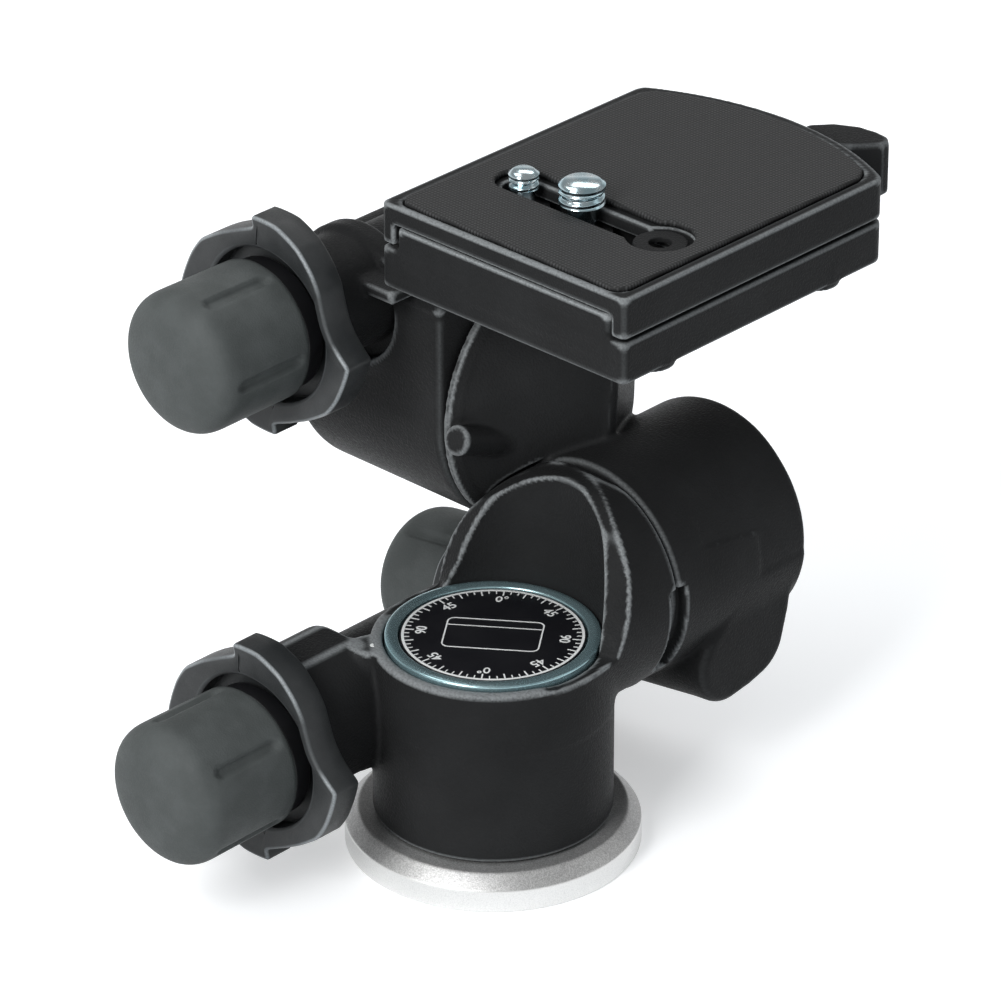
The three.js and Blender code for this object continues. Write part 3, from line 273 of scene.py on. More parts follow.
blasted = finish_of(
    "bead_blasted_aluminium", (0.50, 0.50, 0.50), 0.5, metal=0.85, patch=(0.58, 0.58, 0.575),
    patch_size=9, grain=0.22, grain_height=0.02, rough_spread=0.08, speckle=0.17,
    wear_and_highlight_tone=(0.78, 0.78, 0.77), wear_and_highlight_rough=0.3,
)
turned_steel = finish_of(
    "turned_steel", (0.45, 0.45, 0.46), 0.32, metal=1, patch_size=5, grain=0.15, grain_height=0.003,
)
disc_radius, disc_rim, disc_top_radius, disc_height, disc_edge = 30, 4.9, 27.2, 7.6, 0.45
bore_radius = 7.3
points, faces = turned(eased([
    (bore_radius, 0), (disc_radius, 0), (disc_radius, disc_rim), (disc_top_radius, disc_height),
    (bore_radius, disc_height),
], disc_edge, closed=True), sides=180)
# The disc's whole side takes the bright worn tone: a painted highlight, with a smoother finish than
# the blasted top.
rim_highlight = (np.hypot(points[:, 0], points[:, 1]) > disc_radius - 0.2) & (points[:, 2] < disc_rim)
put("base_disc_surface", points, faces, "base", "raw_aluminium", blasted, ("base_disc",),
    wear_and_highlight=rim_highlight)

thread_pitch, thread_height, plain_end = 1.5875, 0.6, 0.4
insert_inner, insert_outer, insert_height, insert_bevel = 4.76, 7, 7, 0.3
wall = np.arange(plain_end, insert_height - plain_end, thread_pitch / 8)
insert_line = np.array([(insert_inner, insert_height - h) for h in wall] + [
    (insert_inner + 0.5, 0), (insert_outer - insert_bevel, 0), (insert_outer, insert_bevel),
    (insert_outer, insert_height - insert_bevel), (insert_outer - insert_bevel, insert_height),
    (insert_inner + 0.5, insert_height),
])


def threaded(line, first, count, pitch, height):
    """Rows first to first + count ride on a helix: the radius falls by a triangle wave of the
    height less the angle's share of the pitch, and dies out at both ends."""
    def wave(angle, row, radius):
        phase = line[:, 1][row] / pitch - angle / (2 * math.pi)
        ridge = 1 - 2 * np.abs(phase - np.floor(phase) - 0.5)
        fade = np.clip(np.minimum(row - first, first + count - 1 - row) / 6, 0, 1)
        return radius - height * ridge * fade * ((row >= first) & (row < first + count))
    return wave


points, faces = turned(
    insert_line, sides=48, wave=threaded(insert_line, 0, len(wall), thread_pitch, thread_height),
)
put("base_insert_thread", points, faces, "base", "steel", turned_steel, ("base_insert",), crease=50)

# The pan housing is a die casting: an upright body with the dial's pocket in its top, a level
# barrel behind a curved fence, and the worm's hood on its left. It is painted satin black with
# a fine texture; its edges are worn bright, and the same bright tone paints their highlights.
# Castings are worked out as distance fields so that every join has a real fillet.


def met(a, b, edge=0.0):
    """Distance to where both a and b hold, with a round of radius edge on their corner."""
    return np.minimum(np.maximum(a, b), -edge) + np.hypot(
        np.maximum(a + edge, 0), np.maximum(b + edge, 0)
    )


def joined(a, b, fillet=0.0):
    """Distance to a and b together, with a fillet in the corner between them."""
    return -met(-a, -b, fillet)


def without(a, b, edge=0.0):
    """Distance to what is left of a outside b."""
    return met(a, -b, edge)


def between(x, low, high):
    """Distance along one axis to the stretch from low to high, less than nought inside it."""
    return np.abs(x - (low + high) / 2) - (high - low) / 2


def drum(p, axis, at, radius, low, high, edge=0.4):
    """Distance to a round bar along one axis: off its axis less its radius, met by its ends."""
    u, v = [k for k in range(3) if k != axis]
    off = np.hypot(p[:, u] - at[u], p[:, v] - at[v]) - radius
    return met(off, between(p[:, axis], low, high), edge)


def slab(p, low, high, edge=0.4):
    """Distance to a block between two corners, with its edges rounded."""
    low, high = np.array(low, float), np.array(high, float)
    over = between(p, low, high) + edge
    return np.linalg.norm(np.maximum(over, 0), axis=1) + np.minimum(over.max(1), 0) - edge


def settled(field, points, rounds, reach=0.04, most=0.5):
    """Points moved down the field's slope onto its zero surface."""
    corners = np.array([(1, -1, -1), (-1, -1, 1), (-1, 1, -1), (1, 1, 1)])
    for _ in range(rounds):
        readings = [field(points + reach * corner) for corner in corners]
        slope = sum(r[:, None] * c for r, c in zip(readings, corners)) / (4 * reach)
        size = np.maximum((slope ** 2).sum(1), 0.04)
        step = slope * (sum(readings) / 4 / size)[:, None]
        length = np.linalg.norm(step, axis=1)
        points = points - step * np.minimum(1, most / np.maximum(length, 1e-9))[:, None]
    return points


def cast(field, low, high, step):
    """The zero surface of a distance field as quads: one point in every cell of a fine grid
    that the surface crosses, at the mean of its crossings, evened out and settled on the
    surface. Returns points, faces and how sharply the surface bends outwards at each point."""
    run = 4
    low = np.array(low, float)
    count = np.ceil((np.array(high) - low) / (step * run)).astype(int)
    middle = [low[k] + step * run * (np.arange(count[k]) + 0.5) for k in range(3)]
    far = field(np.stack(np.meshgrid(*middle, indexing="ij"), -1).reshape(-1, 3)).reshape(count)
    coarse, cells = np.ones((run,) * 3), count * run
    near = np.kron(np.abs(far) < step * run, coarse) > 0
    corners = [
        tuple(slice(c, c + n) for c, n in zip(corner, cells)) for corner in np.ndindex(2, 2, 2)
    ]
    look = np.zeros(cells + 1, bool)
    for corner in corners:
        look[corner] |= near
    value = np.kron(np.sign(far), coarse)
    value = np.pad(value, ((0, 1),) * 3, mode="edge")
    value[look] = field(low + step * np.argwhere(look))
    inside = value < 0
    filled = sum(inside[corner].astype(int) for corner in corners)
    active = (filled > 0) & (filled < 8)
    number = np.full(cells, -1)
    number[active] = np.arange(active.sum())
    cell = np.argwhere(active)
    total, hits = np.zeros((len(cell), 3)), np.zeros(len(cell))
    quads, unit = [], np.eye(3, dtype=int)
    for k in range(3):
        ahead, u, v = unit[k], unit[(k + 1) % 3], unit[(k + 2) % 3]
        for a, b in np.ndindex(2, 2):
            start = cell + a * u + b * v
            first, last = value[tuple(start.T)], value[tuple((start + ahead).T)]
            cross = (first < 0) != (last < 0)
            share = np.where(cross, first / np.where(cross, first - last, 1), 0)
            total += np.where(cross[:, None], start + share[:, None] * ahead, 0)
            hits += cross
        edge = np.argwhere(np.diff(inside, axis=k))
        ring = edge - u - v, edge - v, edge, edge - u
        quad = np.stack([number[tuple(r.T)] for r in ring], 1)
        out = inside[tuple(edge.T)]
        quads.append(np.where(out[:, None], quad, quad[:, ::-1]))
    points = low + step * total / hits[:, None]
    quads = np.concatenate(quads)
    pairs = np.concatenate([quads[:, [k, (k + 1) % 4]] for k in range(4)])
    share = np.bincount(pairs[:, 0], minlength=len(points))

    def beside(values):
        return np.bincount(pairs[:, 0], values[pairs[:, 1]], len(points)) / share

    points = settled(field, points, 2)
    for _ in range(2):
        mean = np.stack([beside(points[:, k]) for k in range(3)], 1)
        points = settled(field, 0.4 * points + 0.6 * mean, 1)
    points = settled(field, points, 1)
    span = 0.5
    bend = sum(
        field(points + side * span * way) for way in np.eye(3) for side in (-1, 1)
    ) / span ** 2
    for _ in range(2):
        bend = 0.35 * bend + 0.65 * beside(bend)
    return points, quads.tolist(), bend


def edge_wear_and_highlight(bend, least=0.5, most=1.15):
    """Wear and painted highlight from the outward bend: none on faces and fillets, full on the
    sharpest edges.
    """
    share = np.clip((bend - least) / (most - least), 0, 1)
    return share * share * (3 - 2 * share)


# Each stage's centre, ways from wheel to worm and along the worm to the knob, cover side, sizes
# of its seat and hood, and turns of its collar and grip.
stage_words = "centre offset knob out seat reach tube start drum shift collar side grip".split()
stages = {name: dict(zip(stage_words, row)) for name, *row in (
    ("pan", (0, 0, 29.1), (-1, 0, 0), (0, -1, 0),
     -1, 21.5, 46.6, 13.3, 20, 13.3, 4.7, 180, -1, 216),
    ("tilt", (0, 48, 49.2), (0.1460830, 0, -0.9892723), (-0.9892723, 0, -0.1460830),
     -1, 19.8, 46.8, 9.2, 10, 12.6, 0, 148, 1, 207.4),
    ("roll", (-50.7, 40.8, 78.7), (0, 0, 1), (0, -1, 0),
     1, 26, 54.7, 10.6, 27, 12.1, 0, -86, -1, -50),
)}
worm_at = np.array([23.0, 0, 0])
collar_behind, hood_back = 8.5, -16.5
chamber_radius, chamber_back, bush_radius, bush_from, bush_to = 20.6, 11.9, 9.3, 9.9, 14.9
worm_rooms = (6.2, -9.5, 14.5), (5.3, -15.8, 0)


def stage_axes(stage):
    """Rows are the stage's own axes: wheel to worm, along the worm to its knob, and its axle."""
    return np.array([stage["offset"], stage["knob"], np.cross(stage["offset"], stage["knob"])])


def in_stage(p, stage):
    """Places seen from the stage's own centre and axes."""
    return (p - stage["centre"]) @ stage_axes(stage).T


def from_stage(q, stage):
    """Places of the stage's own axes put back into the head."""
    return q @ stage_axes(stage) + stage["centre"]


def hood(p, stage):
    """Distance to the worm's hood: a tube along the worm and a fatter drum up to the collar,
    drawn out along the axle by the shift."""
    q = in_stage(p, stage)
    face = stage["reach"] - collar_behind
    tube = drum(q, 1, worm_at, stage["tube"], hood_back, stage["start"] + 2, 1.2)
    lift = q[:, 2] * -stage["out"]
    lift = lift - np.clip(lift, 0, stage["shift"])
    off = np.hypot(q[:, 0] - worm_at[0], lift) - stage["drum"]
    return joined(tube, met(off, between(q[:, 1], stage["start"], face), 1.1), 1.0)


def hollows(p, stage):
    """Distance to the room inside: the wheel's chamber, the bush's seat and the worm's bore."""
    q = in_stage(p, stage)
    out, face = stage["out"], stage["reach"] - collar_behind
    ends = sorted((out * (stage["seat"] + 2), -out * chamber_back))
    room = drum(q, 2, (0, 0, 0), chamber_radius, *ends)
    ends = sorted((-out * bush_from, -out * bush_to))
    room = joined(room, drum(q, 2, (0, 0, 0), bush_radius, *ends))
    for radius, low, high in (*worm_rooms, (9.0, 12.5, face + 2), (10.8, face - 4, face + 2)):
        room = joined(room, drum(q, 1, worm_at, radius, low, high))
    return room


body_radius, body_low, rim_top = 24.4, 8, 46
pocket_radius, pocket_floor = 22, 44
tilt_axis = (0, 0, 49.2)
barrel_radius, barrel_end = 24.1, 28.2
seam_height, seam_step = 31.9, 0.16
lug_at, lug_radius, lug_depth = (-15.4, -18.9, 0), 4.2, 9
axle_room = 7.3
sweep_left, sweep_right = [6.2, 8.6, 10.2, 11.8, 14.4, 18.3], [7, 9.6, 11.5, 13.5, 16, 19.5]
sweep_up, sweep_fall = [46.25, 48.2, 51.2, 55.8, 63, 75], 0.5
band_angles = [-20, 7, 11.7, 20.3, 29.9, 37.8, 44.5, 56, 71, 80, 92.5, 107, 140, 180]
band_widths = [2.0, 2.2, 2.6, 3.4, 4.0, 4.3, 3.4, 2.1, 1.9, 1.95, 2.8, 4.6, 4.0, 2.0]
band_drops = [1.8, 2.2, 2.6, 3.2, 3.4, 3.4, 3.0, 2.6, 2.0, 1.0, 0.8, 1.3, 2.0, 2.0]


def stop_slot(p):
    """Distance to the notch for the tilt stop, on the right of the parting."""
    angle = np.degrees(np.arctan2(p[:, 2] - tilt_axis[2], p[:, 0]))
    off = np.hypot(p[:, 0], p[:, 2] - tilt_axis[2])
    side = np.radians(np.abs(angle + 13.6) - 25.3) * off
    return met(met(21.4 - off, np.abs(p[:, 1] - 28.6) - 2.3), side)


def pan_metal(p):
    """Body, barrel, lug and hood joined; the pocket, the fence's sloping band and its sweep down
    to the rim, the notch and the hollows taken out."""
    x, y, z = p.T
    off = np.hypot(x, y)
    level = np.hypot(x, z - tilt_axis[2])
    skin = body_radius - seam_step * (1 + np.tanh((seam_height - z) / 0.25)) / 2
    body = met(off - skin, between(z, body_low, rim_top), 0.9)
    barrel = drum(p, 1, tilt_axis, barrel_radius, 0, barrel_end, 0.5)
    lug = drum(p, 2, lug_at, lug_radius, rim_top - lug_depth, rim_top, 0.8)
    metal = joined(joined(body, lug, 0.8), hood(p, stages["pan"]), 1.4)
    metal = joined(metal, barrel, 1.2)
    metal = without(metal, met(off - pocket_radius, pocket_floor - z), 0.5)
    angle = np.degrees(np.arctan2(y, x))
    width = np.interp(angle, band_angles, band_widths)
    drop = np.interp(angle, band_angles, band_drops)
    slope = drop / width
    band = (level - barrel_radius + drop - slope * (off - pocket_radius)) / np.hypot(1, slope)
    band = met(-band, np.maximum(pocket_radius - 1 - off, rim_top - z))
    sweep = np.where(x < 0, np.interp(y, sweep_left, sweep_up), np.interp(y, sweep_right, sweep_up))
    sweep = np.maximum(sweep - sweep_fall * (off - pocket_radius), sweep_up[0])
    band = joined(met(band, off - pocket_radius - width), (sweep - z) * 0.45, 2.0)
    metal = without(metal, band, 0.35)
    seat = drum(p, 1, tilt_axis, axle_room, barrel_end - 4, barrel_end + 2)
    return without(metal, joined(joined(seat, stop_slot(p)), hollows(p, stages["pan"])), 0.3)


# The paint's gloss is low, so its edges' highlights come from the worn tone: painted highlight as
# well as wear.
black_paint = finish_of(
    "textured_black_paint", (0.0155, 0.0158, 0.0162), 0.45, patch=(0.021, 0.0215, 0.022),
    patch_size=25, grain=0.48, grain_height=0.15, rough_spread=0.09, specular=0.045,
    wear_and_highlight_tone=(0.27, 0.285, 0.29), wear_and_highlight_rough=0.35,
)


def put_casting(name, metal, low, high, step, body, node, rub_and_highlight):
    """A casting's surface in black paint, its sharp edges rubbed bright and painted with a
    highlight, by a share that may depend on the place."""
    points, faces, bend = cast(metal, low, high, step)
    share = rub_and_highlight(points) if callable(rub_and_highlight) else rub_and_highlight
    put(name, points, faces, body, "black_casting", black_paint, (node,),
        wear_and_highlight=np.clip(edge_wear_and_highlight(bend) * share, 0, 1))


put_casting("pan_casting", pan_metal, (-40, -42, 6), (28, 32, 76), 0.55, "pan", "pan_housing",
            0.8)

mark_radius, mark_low, mark_high = 0.75, rim_top - 0.1, rim_top + 0.08
points, faces = turned(eased([
    (0, mark_low), (mark_radius, mark_low), (mark_radius, mark_high), (0, mark_high),
], 0.05), sides=32, closed=False)
white_ink = finish_of(
    "white_ink", (0.8, 0.81, 0.8), 0.5, patch=(0.72, 0.73, 0.72), patch_size=3, grain=0.1,
    grain_height=0.002,
)
mark_at = lug_at[0] + 0.9, lug_at[1] - 0.1, 0
put("index_dot", points + mark_at, faces, "pan", "dial_black", white_ink)

# The dial is a black printed disc in a polished ring. Its scale runs twice from 0 to 90 on
# each side, with a tick every 5 degrees, and its middle has a plain ruled panel.
polished = finish_of(
    "polished_ring", (0.33, 0.5, 0.54), 0.24, metal=0.8, patch=(0.39, 0.55, 0.58), patch_size=14,
    grain=0.12, grain_height=0.002, rough_spread=0.04,
)
dial_black = finish_of(
    "dial_black_print", (0.006, 0.006, 0.008), 0.38, patch=(0.009, 0.009, 0.011), patch_size=8,
    grain=0.14, grain_height=0.003, specular=0.3,
)
bezel_radius, bezel_inner, bezel_top, bezel_floor = 21.6, 18.9, 46.9, 44.3
points, faces = turned(eased([
    (0, bezel_floor), (bezel_radius, bezel_floor), (bezel_radius, bezel_top - 0.3),
    (bezel_radius - 1.1, bezel_top), (bezel_inner + 0.2, bezel_top - 0.25),
    (bezel_inner, bezel_top - 0.6), (bezel_inner, bezel_floor + 1), (0, bezel_floor + 1),
], 0.35), sides=180, closed=False)
put("dial_ring", points, faces, "pan", "polished_ring", polished, ("dial_bezel",), crease=60)
dial_radius, dial_low, dial_top = 18.6, bezel_floor + 1.3, 46.3
points, faces = turned(eased([
    (0, dial_low), (dial_radius, dial_low), (dial_radius, dial_top), (0, dial_top),
], 0.2), sides=128, closed=False)
put("dial_disc", points, faces, "pan", "dial_black", dial_black, ("dial_face",), crease=50)

print_height = 0.05
print_top = dial_top + print_height
zero_angle = 126.2
ring_inner, ring_outer, tick_end = 17.7, 18.25, 17.8


def raised(plan, height):
    """Plan places set at a height."""
    return np.concatenate([plan, np.full((*plan.shape[:-1], 1), height)], -1)


def prisms(corners, bottom, top):
    """Blocks on many plan outlines of four corners: the corners at two heights, in six faces."""
    points = np.concatenate([raised(corners, bottom), raised(corners, top)], 1).reshape(-1, 3)
    box = np.array([
        (3, 2, 1, 0), (4, 5, 6, 7), (0, 1, 5, 4), (1, 2, 6, 5), (2, 3, 7, 6), (3, 0, 4, 7),
    ])
    return points, (box[None] + 8 * np.arange(len(corners))[:, None, None]).reshape(-1, 4)


def turned_plan(local, angle):
    """Plan places turned by an angle in degrees."""
    a = np.radians(angle)
    x, y = local[..., 0], local[..., 1]
    return np.stack([x * np.cos(a) - y * np.sin(a), x * np.sin(a) + y * np.cos(a)], -1)


prints = []
degree = np.arange(0, 360, 5)
length, half = np.where(degree % 15 == 0, [[1.9], [0.15]], [[1.15], [0.12]])
local = np.stack([
    np.stack([tick_end - length * a, half * b], -1)
    for a, b in ((1, -1), (0, -1), (0, 1), (1, 1))
], 1)
ticks = turned_plan(local, (degree + zero_angle)[:, None])
prints.append(prisms(ticks, dial_top, print_top))
prints.append(turned([
    (ring_inner, dial_top), (ring_outer, dial_top), (ring_outer, print_top),
    (ring_inner, print_top),
], sides=180))

panel_angle, panel_half, panel_corner, panel_line = zero_angle - 90, (9.8, 6.0), 1.6, 0.3
rule_half, rule_low, rule_high = 9.6, 2.9, 3.15


def rounded_panel(half_width, half_height, corner):
    """Plan outline of a rectangle with quarter-circle corners, anticlockwise."""
    middles = np.array([(1, 1), (-1, 1), (-1, -1), (1, -1)])
    middles = middles * (half_width - corner, half_height - corner)
    way = np.arange(4)[:, None] * math.pi / 2 + np.linspace(0, math.pi / 2, 7)
    return (middles[:, None] + corner * np.stack([np.cos(way), np.sin(way)], -1)).reshape(-1, 2)


outer = rounded_panel(*panel_half, panel_corner)
inner = rounded_panel(*(size - panel_line for size in (*panel_half, panel_corner)))
loop = np.stack([
    raised(turned_plan(line, panel_angle), height) for line, height in (
        (inner, dial_top), (outer, dial_top), (outer, print_top), (inner, print_top),
    )
])
prints.append((loop.reshape(-1, 3), grid_faces(4, len(outer), True)))
rule = np.array([[
    (-rule_half, rule_low), (rule_half, rule_low), (rule_half, rule_high), (-rule_half, rule_high),
]])
prints.append(prisms(turned_plan(rule, panel_angle), dial_top, print_top))

figure_height, figure_radius = 2.5, 14.3
for label, turn in zip(("0°", "45", "90", "45") * 2, range(0, 360, 45)):
    figure = bpy.data.curves.new("figure", "FONT")
    figure.body = label
    figure.align_x = figure.align_y = "CENTER"
    figure.size = figure_height * 1.25
    figure.extrude = print_height / 2
    figure.offset = 0.03
    figure.resolution_u = 3
    holder = bpy.data.objects.new("figure", figure)
    mesh = bpy.data.meshes.new_from_object(holder)
    local = np.empty(3 * len(mesh.vertices))
    mesh.vertices.foreach_get("co", local)
    local = local.reshape(-1, 3)
    place = turned_plan(local[:, :2] + (0, figure_radius), zero_angle + turn - 90)
    level = local[:, 2] + dial_top + print_height / 2
    prints.append((np.column_stack([place, level]), [list(p.vertices) for p in mesh.polygons]))
    bpy.data.objects.remove(holder)
    bpy.data.meshes.remove(mesh)
faces, start = [], 0
for some, shape in prints:
    faces += [[start + int(corner) for corner in face] for face in shape]
    start += len(some)
put("dial_scale", np.concatenate([some for some, _ in prints]), faces, "pan", "dial_black",
    white_ink, crease=30)

# The tilt housing is the turning barrel behind the pan housing, with an oval end over its worm
# and a cone-shaped arm that carries the roll stage. A stop peg stands out of the arm.
tilt_low, tilt_high = 28.8, 67.7
tilt_seam_angles, tilt_seam, tilt_seam_step = (-2, 19.5, 24.4, 62), (53, 53, 38.2, 38.2), 0.3
arm_x, arm_tip_low, arm_tip_high = -21.7, (-7.4, 60.0), (-5.0, 94.0)
arm_radius, arm_round, arm_lean, arm_left, arm_back = 25.6, 0.8, 0.47, -24.7, 60.5
flange_radius, flange_at, flange_half = 29.15, -23.2, 1.5
roll_axis = (0, 40.8, 78.7)
oval_lobes, oval_middle, oval_half = ((47, 29.7, 9.2), (54.3, 31, 9.1), (57.5, 41, 8)), 14.2, 8.2
peg_start, peg_way, peg_radius, peg_length = (-19.2, 9.5, 79.2), (0, 0.9397, -0.342), 3.1, 15


def oval_end(p):
    """Distance to the rounded triangle over the tilt worm: the furthest of the lines that
    touch its three lobes, carried along X."""
    way = np.radians(np.arange(0, 360, 7.5))
    lines = np.stack([np.cos(way), np.sin(way)])
    touch = np.max([lines.T @ (y, z) + r for y, z, r in oval_lobes], 0)
    off = np.max(p[:, 1:] @ lines - touch, 1)
    return met(off, np.abs(p[:, 0] - oval_middle) - oval_half, 1.9)


def arm_metal(p):
    """Distance to the arm: a circle that narrows evenly to an upright edge, on a flange."""
    x, y, z = p.T
    tip = np.interp(z, (arm_tip_low[1], arm_tip_high[1]), (arm_tip_low[0], arm_tip_high[0]))
    t = np.clip((x - arm_x) / (tip - arm_x), 0, 1)
    low = roll_axis[2] + t * (arm_tip_low[1] - roll_axis[2])
    high = roll_axis[2] + t * (arm_tip_high[1] - roll_axis[2])
    off = np.hypot(y - roll_axis[1], z - np.clip(z, low, high))
    beyond = np.maximum(x - tip, 0)
    cone = np.where(
        beyond > 0, np.hypot(off * arm_lean, beyond), (off - (1 - t) * arm_radius) * arm_lean,
    )
    cone = met(cone - arm_round, arm_left - x)
    off = np.hypot(y - roll_axis[1], z - roll_axis[2])
    ring = met(off - flange_radius, np.abs(x - flange_at) - flange_half, 0.3)
    bevel = ((off - flange_radius) * 1.5 + (x - flange_at) * 1.75) / 2.305
    ring = met(ring, bevel, 0.2)
    return joined(cone, ring, 0.5)


def tilt_metal(p):
    """Barrel, arm, peg, worm hood and oval end joined; the sweep of the pan barrel and the
    hollows taken out. The barrel's skin steps along the joint line of its die."""
    x, y, z = p.T
    angle = np.degrees(np.arctan2(z - tilt_axis[2], x))
    line = np.interp(angle, tilt_seam_angles, tilt_seam)
    fade = np.clip((66 - angle) / 20, 0, 1) * np.clip((angle + 6) / 4, 0, 1)
    skin = barrel_radius - tilt_seam_step * fade * (1 + np.tanh((y - line) / 0.5)) / 2
    off = np.hypot(x, z - tilt_axis[2])
    barrel = met(met(off - skin, tilt_low - y, 1.2), y - tilt_high, 1.8)
    to_peg = p - peg_start
    along = to_peg @ peg_way
    off_peg = np.linalg.norm(to_peg - along[:, None] * peg_way, axis=1) - peg_radius
    peg = met(off_peg, between(along, 0, peg_length), 0.5)
    arm = joined(arm_metal(p), peg, 0.7)
    arm = without(arm, met(off - barrel_radius - 0.5, y - tilt_low), 0.3)
    arm = met(arm, y - arm_back, 1.2)
    metal = joined(joined(barrel, arm, 1.2), hood(p, stages["tilt"]), 2.5)
    metal = joined(metal, oval_end(p), 1.0)
    seat = drum(p, 0, roll_axis, axle_room, -26.7, -20.7)
    return without(metal, joined(joined(seat, stop_slot(p)), hollows(p, stages["tilt"])), 0.3)


put_casting("tilt_casting", tilt_metal, (-44, 5, 5), (28, 72, 112), 0.6, "tilt",
            "tilt_housing", 0.7)

# The roll housing has a round-bottomed section along X, a flange on top for the receiver and
# the worm's hood, which comes out of a raised round face.
roll_left, roll_right, roll_radius, roll_top, roll_back = -70, -25.3, 29.5, 105.5, 62.5
flange_block = (-44, 11.3, 104), (roll_right, 76, 110.9)
lip_block = (-44, 4.6, 106.4), (-31.8, 20, 109)
face_at, face_radius, face_from = worm_at - (2.4, 0, 0), 15.5, 24
moat_radius, moat_floor = 13.0, 26.8
receiver_screws = (-28.6, 20, 0), (-28.6, 62, 0)


def roll_metal(p):
    """A round-bottomed bar with a flat back, its flange, hood and raised face joined; the
    moat round the hood and the hollows taken out."""
    x, y, z = p.T
    dy, dz = y - roll_axis[1], z - roll_axis[2]
    off = np.where(dz > 0, np.abs(dy), np.hypot(dy, dz)) - roll_radius
    bar = met(met(off, z - roll_top, 1.5), y - roll_back, 2.5)
    bar = met(met(bar, x - roll_right, 1.4), roll_left - x, 5)
    flange = joined(slab(p, *flange_block, 0.9), slab(p, *lip_block, 0.7), 0.5)
    q = in_stage(p, stages["roll"])
    face = drum(q, 1, face_at, face_radius, face_from, roll_radius, 1.4)
    metal = joined(joined(bar, flange, 1.0), face, 1.5)
    metal = without(metal, drum(q, 1, face_at, moat_radius, moat_floor, 32, 0.8), 0.8)
    metal = joined(metal, hood(p, stages["roll"]), 1.0)
    room = hollows(p, stages["roll"])
    for at in receiver_screws:
        room = joined(room, drum(p, 2, at, 1.7, 103.5, 113))
    return without(metal, room, 0.3)


put_casting("roll_casting", roll_metal, (-72, -8, 46), (-22, 80, 118), 0.6, "roll",
            "roll_housing", 0.7)

# Inside each housing a steel worm drives a bronze wheel. Their shapes stay as machined, in
# turned steel, bronze and black paint.
bronze = finish_of(
    "turned_bronze", (0.42, 0.27, 0.11), 0.34, metal=1, patch_size=6, grain=0.2, grain_height=0.004,
)
inner_finishes = {
    "worm_wheel": bronze, "end_bush": bronze, "rear_bush": bronze, "cover_ring": black_paint,
    **dict.fromkeys(("worm_shaft", "axle", "wheel_nut", "thrust_washer", "worm_sleeve",
                     "collar_spring"), turned_steel),
}


def refinish(node, finish):
    """A CAD piece keeps its shape and takes a worked-out finish."""
    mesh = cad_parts[node].data
    mesh.materials.clear()
    mesh.materials.append(finish)


for which in stages:
    for part, finish in inner_finishes.items():
        refinish(f"{which}_{part}", finish)

# Behind each knob a winged collar of dark moulded plastic frees the worm. Two wings stand a
# half turn apart, each with a hollow for the finger, and their front edge is rubbed bright and
# carries a painted highlight.
collar_radius, collar_depth, collar_recess, collar_floor, collar_hole = 23.6, 7, 16.4, 2, 9.0
collar_edge, collar_back, rub_and_highlight_radius = 0.75, 8.1, 19.4
wing_angles = [100, 84, 68, 54, 43, 34, 22, 12, 5, 0, -10, -22, -34, -50, -66, -76, -79]
wing_shares = [0.995, 0.995, 0.955, 0.9, 0.855, 0.81, 0.79, 0.835, 0.92, 1, 0.975, 0.955, 0.935,
               0.88, 0.865, 0.885, 0.905]
collar_plastic = finish_of(
    "dark_moulded_collar", (0.02, 0.022, 0.023), 0.48, patch=(0.032, 0.034, 0.035), patch_size=7,
    grain=0.35, grain_height=0.025, rough_spread=0.08, specular=0.3, wear_and_highlight_tone=(0.26, 0.28, 0.29),
    wear_and_highlight_rough=0.35,
)


def wing_outline(turn, side):
    """Both wings' corners, in plan, joined by an even curve and spread at even steps."""
    share = np.tile(wing_shares, 2)
    angle = np.array([wing_angles, np.array(wing_angles) - 180]).ravel()
    a = np.radians(side * angle + turn)
    corner = collar_radius * share[:, None] * np.stack([np.cos(a), np.sin(a)], 1)
    p0, p1, p2, p3 = (np.roll(corner, k, 0)[:, None] for k in (1, 0, -1, -2))
    t = np.linspace(0, 1, 12, endpoint=False)[None, :, None]
    slope1, slope2 = (p2 - p0) * 0.35, (p3 - p1) * 0.35
    curve = (
        (2 * t ** 3 - 3 * t ** 2 + 1) * p1 + (t ** 3 - 2 * t ** 2 + t) * slope1
        + (3 * t ** 2 - 2 * t ** 3) * p2 + (t ** 3 - t ** 2) * slope2
    ).reshape(-1, 2)
    steps = np.linalg.norm(np.roll(curve, -1, 0) - curve, axis=1)
    length = np.concatenate([[0], np.cumsum(steps)])
    even = np.linspace(0, length[-1], 360, endpoint=False)
    around = np.concatenate([curve, curve[:1]])
    return np.stack([np.interp(even, length, around[:, k]) for k in range(2)], 1)


